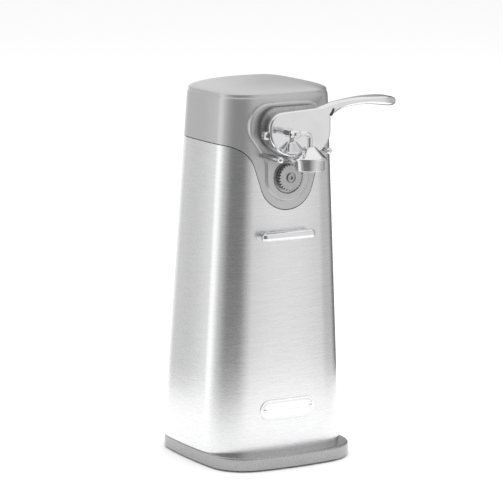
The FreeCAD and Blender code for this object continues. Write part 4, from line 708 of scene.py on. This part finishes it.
def handle():
    """A spoon-shaped thumb handle: flattened rings along its length."""
    tip = HANDLE_TIP
    middle_y = PLATE_BACK - PLATE_THICK / 2
    stations = [
        # x, top, bottom, half width
        (14.0, 259.2, 255.0, 3.0),
        (20.0, 260.4, 252.5, 3.5),
        (26.0, 262.2, 251.8, 3.7),
        (31.0, 263.4, 254.8, 3.8),
        (36.0, 264.2, 257.8, 3.9),
        (42.0, 264.9, 259.2, 4.4),
        (50.0, 265.7, 260.0, 5.6),
        (58.0, 266.3, 260.2, 7.0),
        (64.0, 266.7, 259.4, 8.2),
        (70.0, 266.7, 258.6, 8.5),
        (74.0, 266.4, 258.0, 8.2),
        (tip - 4.8, 265.6, 257.7, 7.0),
        (tip - 2.3, 264.6, 258.0, 5.4),
        (tip - 0.8, 263.6, 258.8, 3.5),
        (tip, 261.8, 260.2, 0.8),
    ]
    stations = np.array(stations)
    xs = np.concatenate([np.linspace(14, 76, 60), np.linspace(76, tip, 22)[1:]])
    angles = np.linspace(0, 2 * math.pi, 56, endpoint=False)
    rows = []
    for x in xs:
        top, bottom, half = (np.interp(x, stations[:, 0], stations[:, k]) for k in (1, 2, 3))
        spread = np.sign(np.cos(angles)) * np.abs(np.cos(angles)) ** 0.8
        lift = np.sign(np.sin(angles)) * np.abs(np.sin(angles)) ** 0.8
        z = (top + bottom) / 2 + (top - bottom) / 2 * lift
        dish = smooth_step((x - 52) / 14) * (1 - spread**2) * (lift > 0)
        rows.append(np.column_stack([np.full(len(angles), x), middle_y + half * spread, z - dish * lift]))
    rows = smooth_rows(rows, 6)
    verts, faces = skin(rows)
    count = len(angles)
    faces.append(tuple(range(count)))
    faces.append(tuple(range(len(verts) - count, len(verts))))
    return verts, faces


def smooth_rows(rows, passes):
    rows = np.array(rows)
    for _ in range(passes):
        rows[1:-1] = (rows[:-2] + 2 * rows[1:-1] + rows[2:]) / 4
    return list(rows)


def swing_post():
    z = high("magnet_arm")[2] - ROD_RADIUS - ROD_COVER
    front = middle("magnet_cup")[1] - 2.8
    length = PLATE_FRONT + 1 - front
    profile = [(0, 0), (0, 1.6), (0.25, 2.2), (0.8, 2.65), (1.4, 2.8), (length - 1.6, 2.8),
               (length - 0.8, 3.1), (length, 4.0), (length, 0)]
    return turned(profile, (POST_X, front, z), (0, 1, 0), 48)


def lever_ear():
    profile = [(0, 1.35), (0, 2.7), (0.3, 3.0), (3.7, 3.0), (4.0, 2.7), (4.0, 1.35)]
    rows = lathe_rows(profile, (EAR_X, PLATE_BACK - 4.5, EAR_HEIGHT), (0, 1, 0), 40)
    return skin(rows, loop=True)


def lever_painted_shade_slot():
    """A black piece that paints the shade in the slot under the root of the handle, tipped over to the right.
    """
    centre, size = NOTCH_PLACE, NOTCH_SIZE
    across = np.array((math.cos(NOTCH_TILT), 0.0, -math.sin(NOTCH_TILT)))
    along = np.array((math.sin(NOTCH_TILT), 0.0, math.cos(NOTCH_TILT)))
    deep = np.array((0.0, 1.0, 0.0))
    outline = rounded_points([(-size[0] / 2, -size[2] / 2, 0.9), (size[0] / 2, -size[2] / 2, 0.9),
                              (size[0] / 2, size[2] / 2, 0.9), (-size[0] / 2, size[2] / 2, 0.9)], 0.3)
    rows = []
    for depth, share in ((size[1], 1), (0.3, 1), (0, 0.85), (0, 0.02)):
        flat = outline * share
        rows.append(np.asarray(centre) + np.outer(flat[:, 0], across) + np.outer(flat[:, 1], along)
                    + deep * (depth - size[1] / 2))
    # black plastic here is painted shade: it stands in for the shadow inside the slot
    make_piece("lever_painted_shade_slot", *skin(rows), "lever", "black_plastic")


def lever():
    lever_painted_shade_slot()
    make_piece("lever_casting", *join(lever_plate(), handle(), swing_post(), lever_ear()), "lever", "chrome",
               ["lever_arm"], math.radians(32))


# ---------------------------------------------------------------- magnet

CONE_TOP = 4.0


def magnet():
    x, y, _ = middle("magnet_disc")
    cup_low, cup_high = low("magnet_cup"), high("magnet_cup")
    disc_low, disc_high = low("magnet_disc"), high("magnet_disc")
    radius = (cup_high[0] - cup_low[0]) / 2
    band = 1.6
    base = cup_low[2]
    top = cup_high[2]
    profile = [(base, 0), (base, radius - 0.4), (base + 0.15, radius - 0.1), (base + 0.5, radius),
               (base + band - 0.3, radius), (base + band + 0.25, radius - 0.35)]
    for share in np.linspace(0.08, 0.92, 14):
        height = base + band + (top - base - band) * share
        straight = radius + (CONE_TOP - radius) * share
        profile.append((height, straight - 0.35 * math.sin(math.pi * share)))
    profile += [(top - 0.25, CONE_TOP), (top, CONE_TOP - 0.3), (top, 0)]
    profile = [(along - base, size) for along, size in profile]
    bell = turned(profile, (x, y, base), (0, 0, 1), 96)
    make_piece("magnet_bell", *bell, "magnet", "chrome", ["magnet_cup"])
    size = (disc_high[0] - disc_low[0]) / 2
    height = disc_high[2] - disc_low[2]
    profile = [(0, 0), (0, size - 0.6), (0.2, size - 0.2), (0.6, size), (height, size), (height, 0)]
    puck = turned(profile, (x, y, disc_low[2]), (0, 0, 1), 96)
    make_piece("magnet_puck", *puck, "magnet", "ferrite", ["magnet_disc"])


def magnet_bar():
    x, y, _ = middle("magnet_disc")
    lowest, highest = low("magnet_arm"), high("magnet_arm")
    z = highest[2] - ROD_RADIUS - ROD_COVER
    bend = 4.0
    start = lowest[0]
    end = lowest[2]
    path = [np.array((start, y, z)), np.array((start + 0.3, y, z))]
    path += [np.array((px, y, z)) for px in np.linspace(start + 1, x - bend, 12)]
    for angle in np.radians(np.linspace(0, 90, 16))[1:]:
        path.append(np.array((x - bend + bend * math.sin(angle), y, z - bend + bend * math.cos(angle))))
    path += [np.array((x, y, pz)) for pz in np.linspace(z - bend, end, 8)[1:]]
    rows = []
    angles = np.linspace(0, 2 * math.pi, 40, endpoint=False)
    for i, point in enumerate(path):
        ahead = path[min(i + 1, len(path) - 1)] - path[max(i - 1, 0)]
        ahead /= np.linalg.norm(ahead)
        side = np.array((0.0, 1.0, 0.0))
        other = np.cross(ahead, side)
        size = ROD_RADIUS * (0.8 if i == 0 else 1.0)
        rows.append(point + size * (np.outer(np.cos(angles), side) + np.outer(np.sin(angles), other)))
    verts, faces = skin(rows)
    faces.append(tuple(range(len(angles))))
    faces.append(tuple(range(len(verts) - len(angles), len(verts))))
    profile = [(0, 0), (0, 2.1), (0.25, 2.55), (1.0, 2.6), (1.2, 2.4), (1.2, 0)]
    button = turned(profile, (start + 0.2, y, z), (1, 0, 0), 40)
    make_piece("magnet_rod", *join((verts, faces), button), "magnet", "chrome", ["magnet_arm"])


steel_sleeve()
top_housing()
base_plinth()
badge()
rest_bar()
guide_pins()
drive_wheel()
lever()
magnet()
magnet_bar()

# ---------------------------------------------------------------- stage and light


def stage_material(name, colour, roughness):
    material, nodes, links, bsdf = new_material(name)
    bsdf.inputs["Base Color"].default_value = (*colour, 1)
    bsdf.inputs["Roughness"].default_value = roughness
    bsdf.inputs["Specular IOR Level"].default_value = 0.0
    return material


FLOOR_HALF = 30.0


def make_floor():
    mesh = bpy.data.meshes.new("floor")
    corners = [(x * FLOOR_HALF, y * FLOOR_HALF, 0) for x, y in ((-1, -1), (1, -1), (1, 1), (-1, 1))]
    mesh.from_pydata(corners, [], [(0, 1, 2, 3)])
    floor = bpy.data.objects.new("floor", mesh)
    bpy.context.scene.collection.objects.link(floor)
    mesh.materials.append(stage_material("floor_white", (0.93, 0.93, 0.93), 0.9))


# plain studio panels: middle in degrees from the front (positive to the left), width in degrees, brightness
PANELS = {
    "front_box": (-25, 40, 0.85),
    "corner_flag": (46, 60, 0.2),
    "left_box": (115, 30, 1.3),
    "back_box": (180, 50, 1.0),
    "right_flag": (-113, 30, 0.1),
}
WALL_LEVEL = 0.55
CEILING_LEVEL = 1.0
PANEL_FEATHER = 20.0
SCREEN_RADIUS = 0.30
WALL_HEIGHTS = (0.0015, 0.15, 0.45)
CEILING_HEIGHTS = (0.50, 0.95)


def panel_level(degrees):
    level = WALL_LEVEL
    for middle_angle, width, brightness in PANELS.values():
        away = abs((degrees - middle_angle + 180) % 360 - 180)
        share = min(1, max(0, (width / 2 - away) / PANEL_FEATHER + 0.5))
        level += share * (brightness - level)
    return level


def make_screen():
    """A ring of plain panels, boxes and flags under a white ceiling, that only reflections see."""
    steps = 240
    verts, faces, levels = [], [], []
    for z in WALL_HEIGHTS + CEILING_HEIGHTS:
        for i in range(steps):
            angle = 2 * math.pi * i / steps
            verts.append((-SCREEN_RADIUS * math.sin(angle), -SCREEN_RADIUS * math.cos(angle), z))
            levels.append(panel_level(math.degrees(angle)) if z in WALL_HEIGHTS else CEILING_LEVEL)
    for row in range(len(WALL_HEIGHTS) + len(CEILING_HEIGHTS) - 1):
        for i in range(steps):
            j = (i + 1) % steps
            faces.append((row * steps + i, row * steps + j, (row + 1) * steps + j, (row + 1) * steps + i))
    mesh = bpy.data.meshes.new("reflection_screen")
    mesh.from_pydata(verts, [], faces)
    colours = mesh.color_attributes.new("shade", "FLOAT_COLOR", "POINT")
    for i, level in enumerate(levels):
        colours.data[i].color = (level, level, level, 1)
    material = bpy.data.materials.new("reflection_screen")
    material.use_nodes = True
    nodes, links = material.node_tree.nodes, material.node_tree.links
    nodes.clear()
    shade = nodes.new("ShaderNodeVertexColor")
    shade.layer_name = "shade"
    glow = nodes.new("ShaderNodeEmission")
    out = nodes.new("ShaderNodeOutputMaterial")
    links.new(shade.outputs["Color"], glow.inputs["Color"])
    links.new(glow.outputs["Emission"], out.inputs["Surface"])
    mesh.materials.append(material)
    screen = bpy.data.objects.new("reflection_screen", mesh)
    bpy.context.scene.collection.objects.link(screen)
    screen.visible_camera = False
    screen.visible_diffuse = False
    screen.visible_shadow = False
    screen.visible_transmission = False


def area_light(name, place, target, size, power):
    data = bpy.data.lights.new(name, "AREA")
    data.shape = "RECTANGLE"
    data.size, data.size_y = size
    data.energy = power
    light = bpy.data.objects.new(name, data)
    bpy.context.scene.collection.objects.link(light)
    light.location = place
    light.visible_glossy = False
    light.rotation_euler = (Vector(place) - Vector(target)).to_track_quat("Z", "Y").to_euler()


def make_light():
    world = bpy.data.worlds.new("studio")
    bpy.context.scene.world = world
    world.use_nodes = True
    world.node_tree.nodes["Background"].inputs["Color"].default_value = (1, 1, 1, 1)
    world.node_tree.nodes["Background"].inputs["Strength"].default_value = 1.0
    centre = (0, 0, 0.15)
    area_light("key", (-0.9, -1.2, 1.6), centre, (1.2, 1.2), 10)
    area_light("top", (0.2, 0.3, 2.0), centre, (1.6, 1.6), 12)
    area_light("right", (1.6, -0.6, 0.8), centre, (0.8, 1.4), 4)
    bpy.context.scene.view_settings.view_transform = "Standard"


make_floor()
make_screen()
make_light()
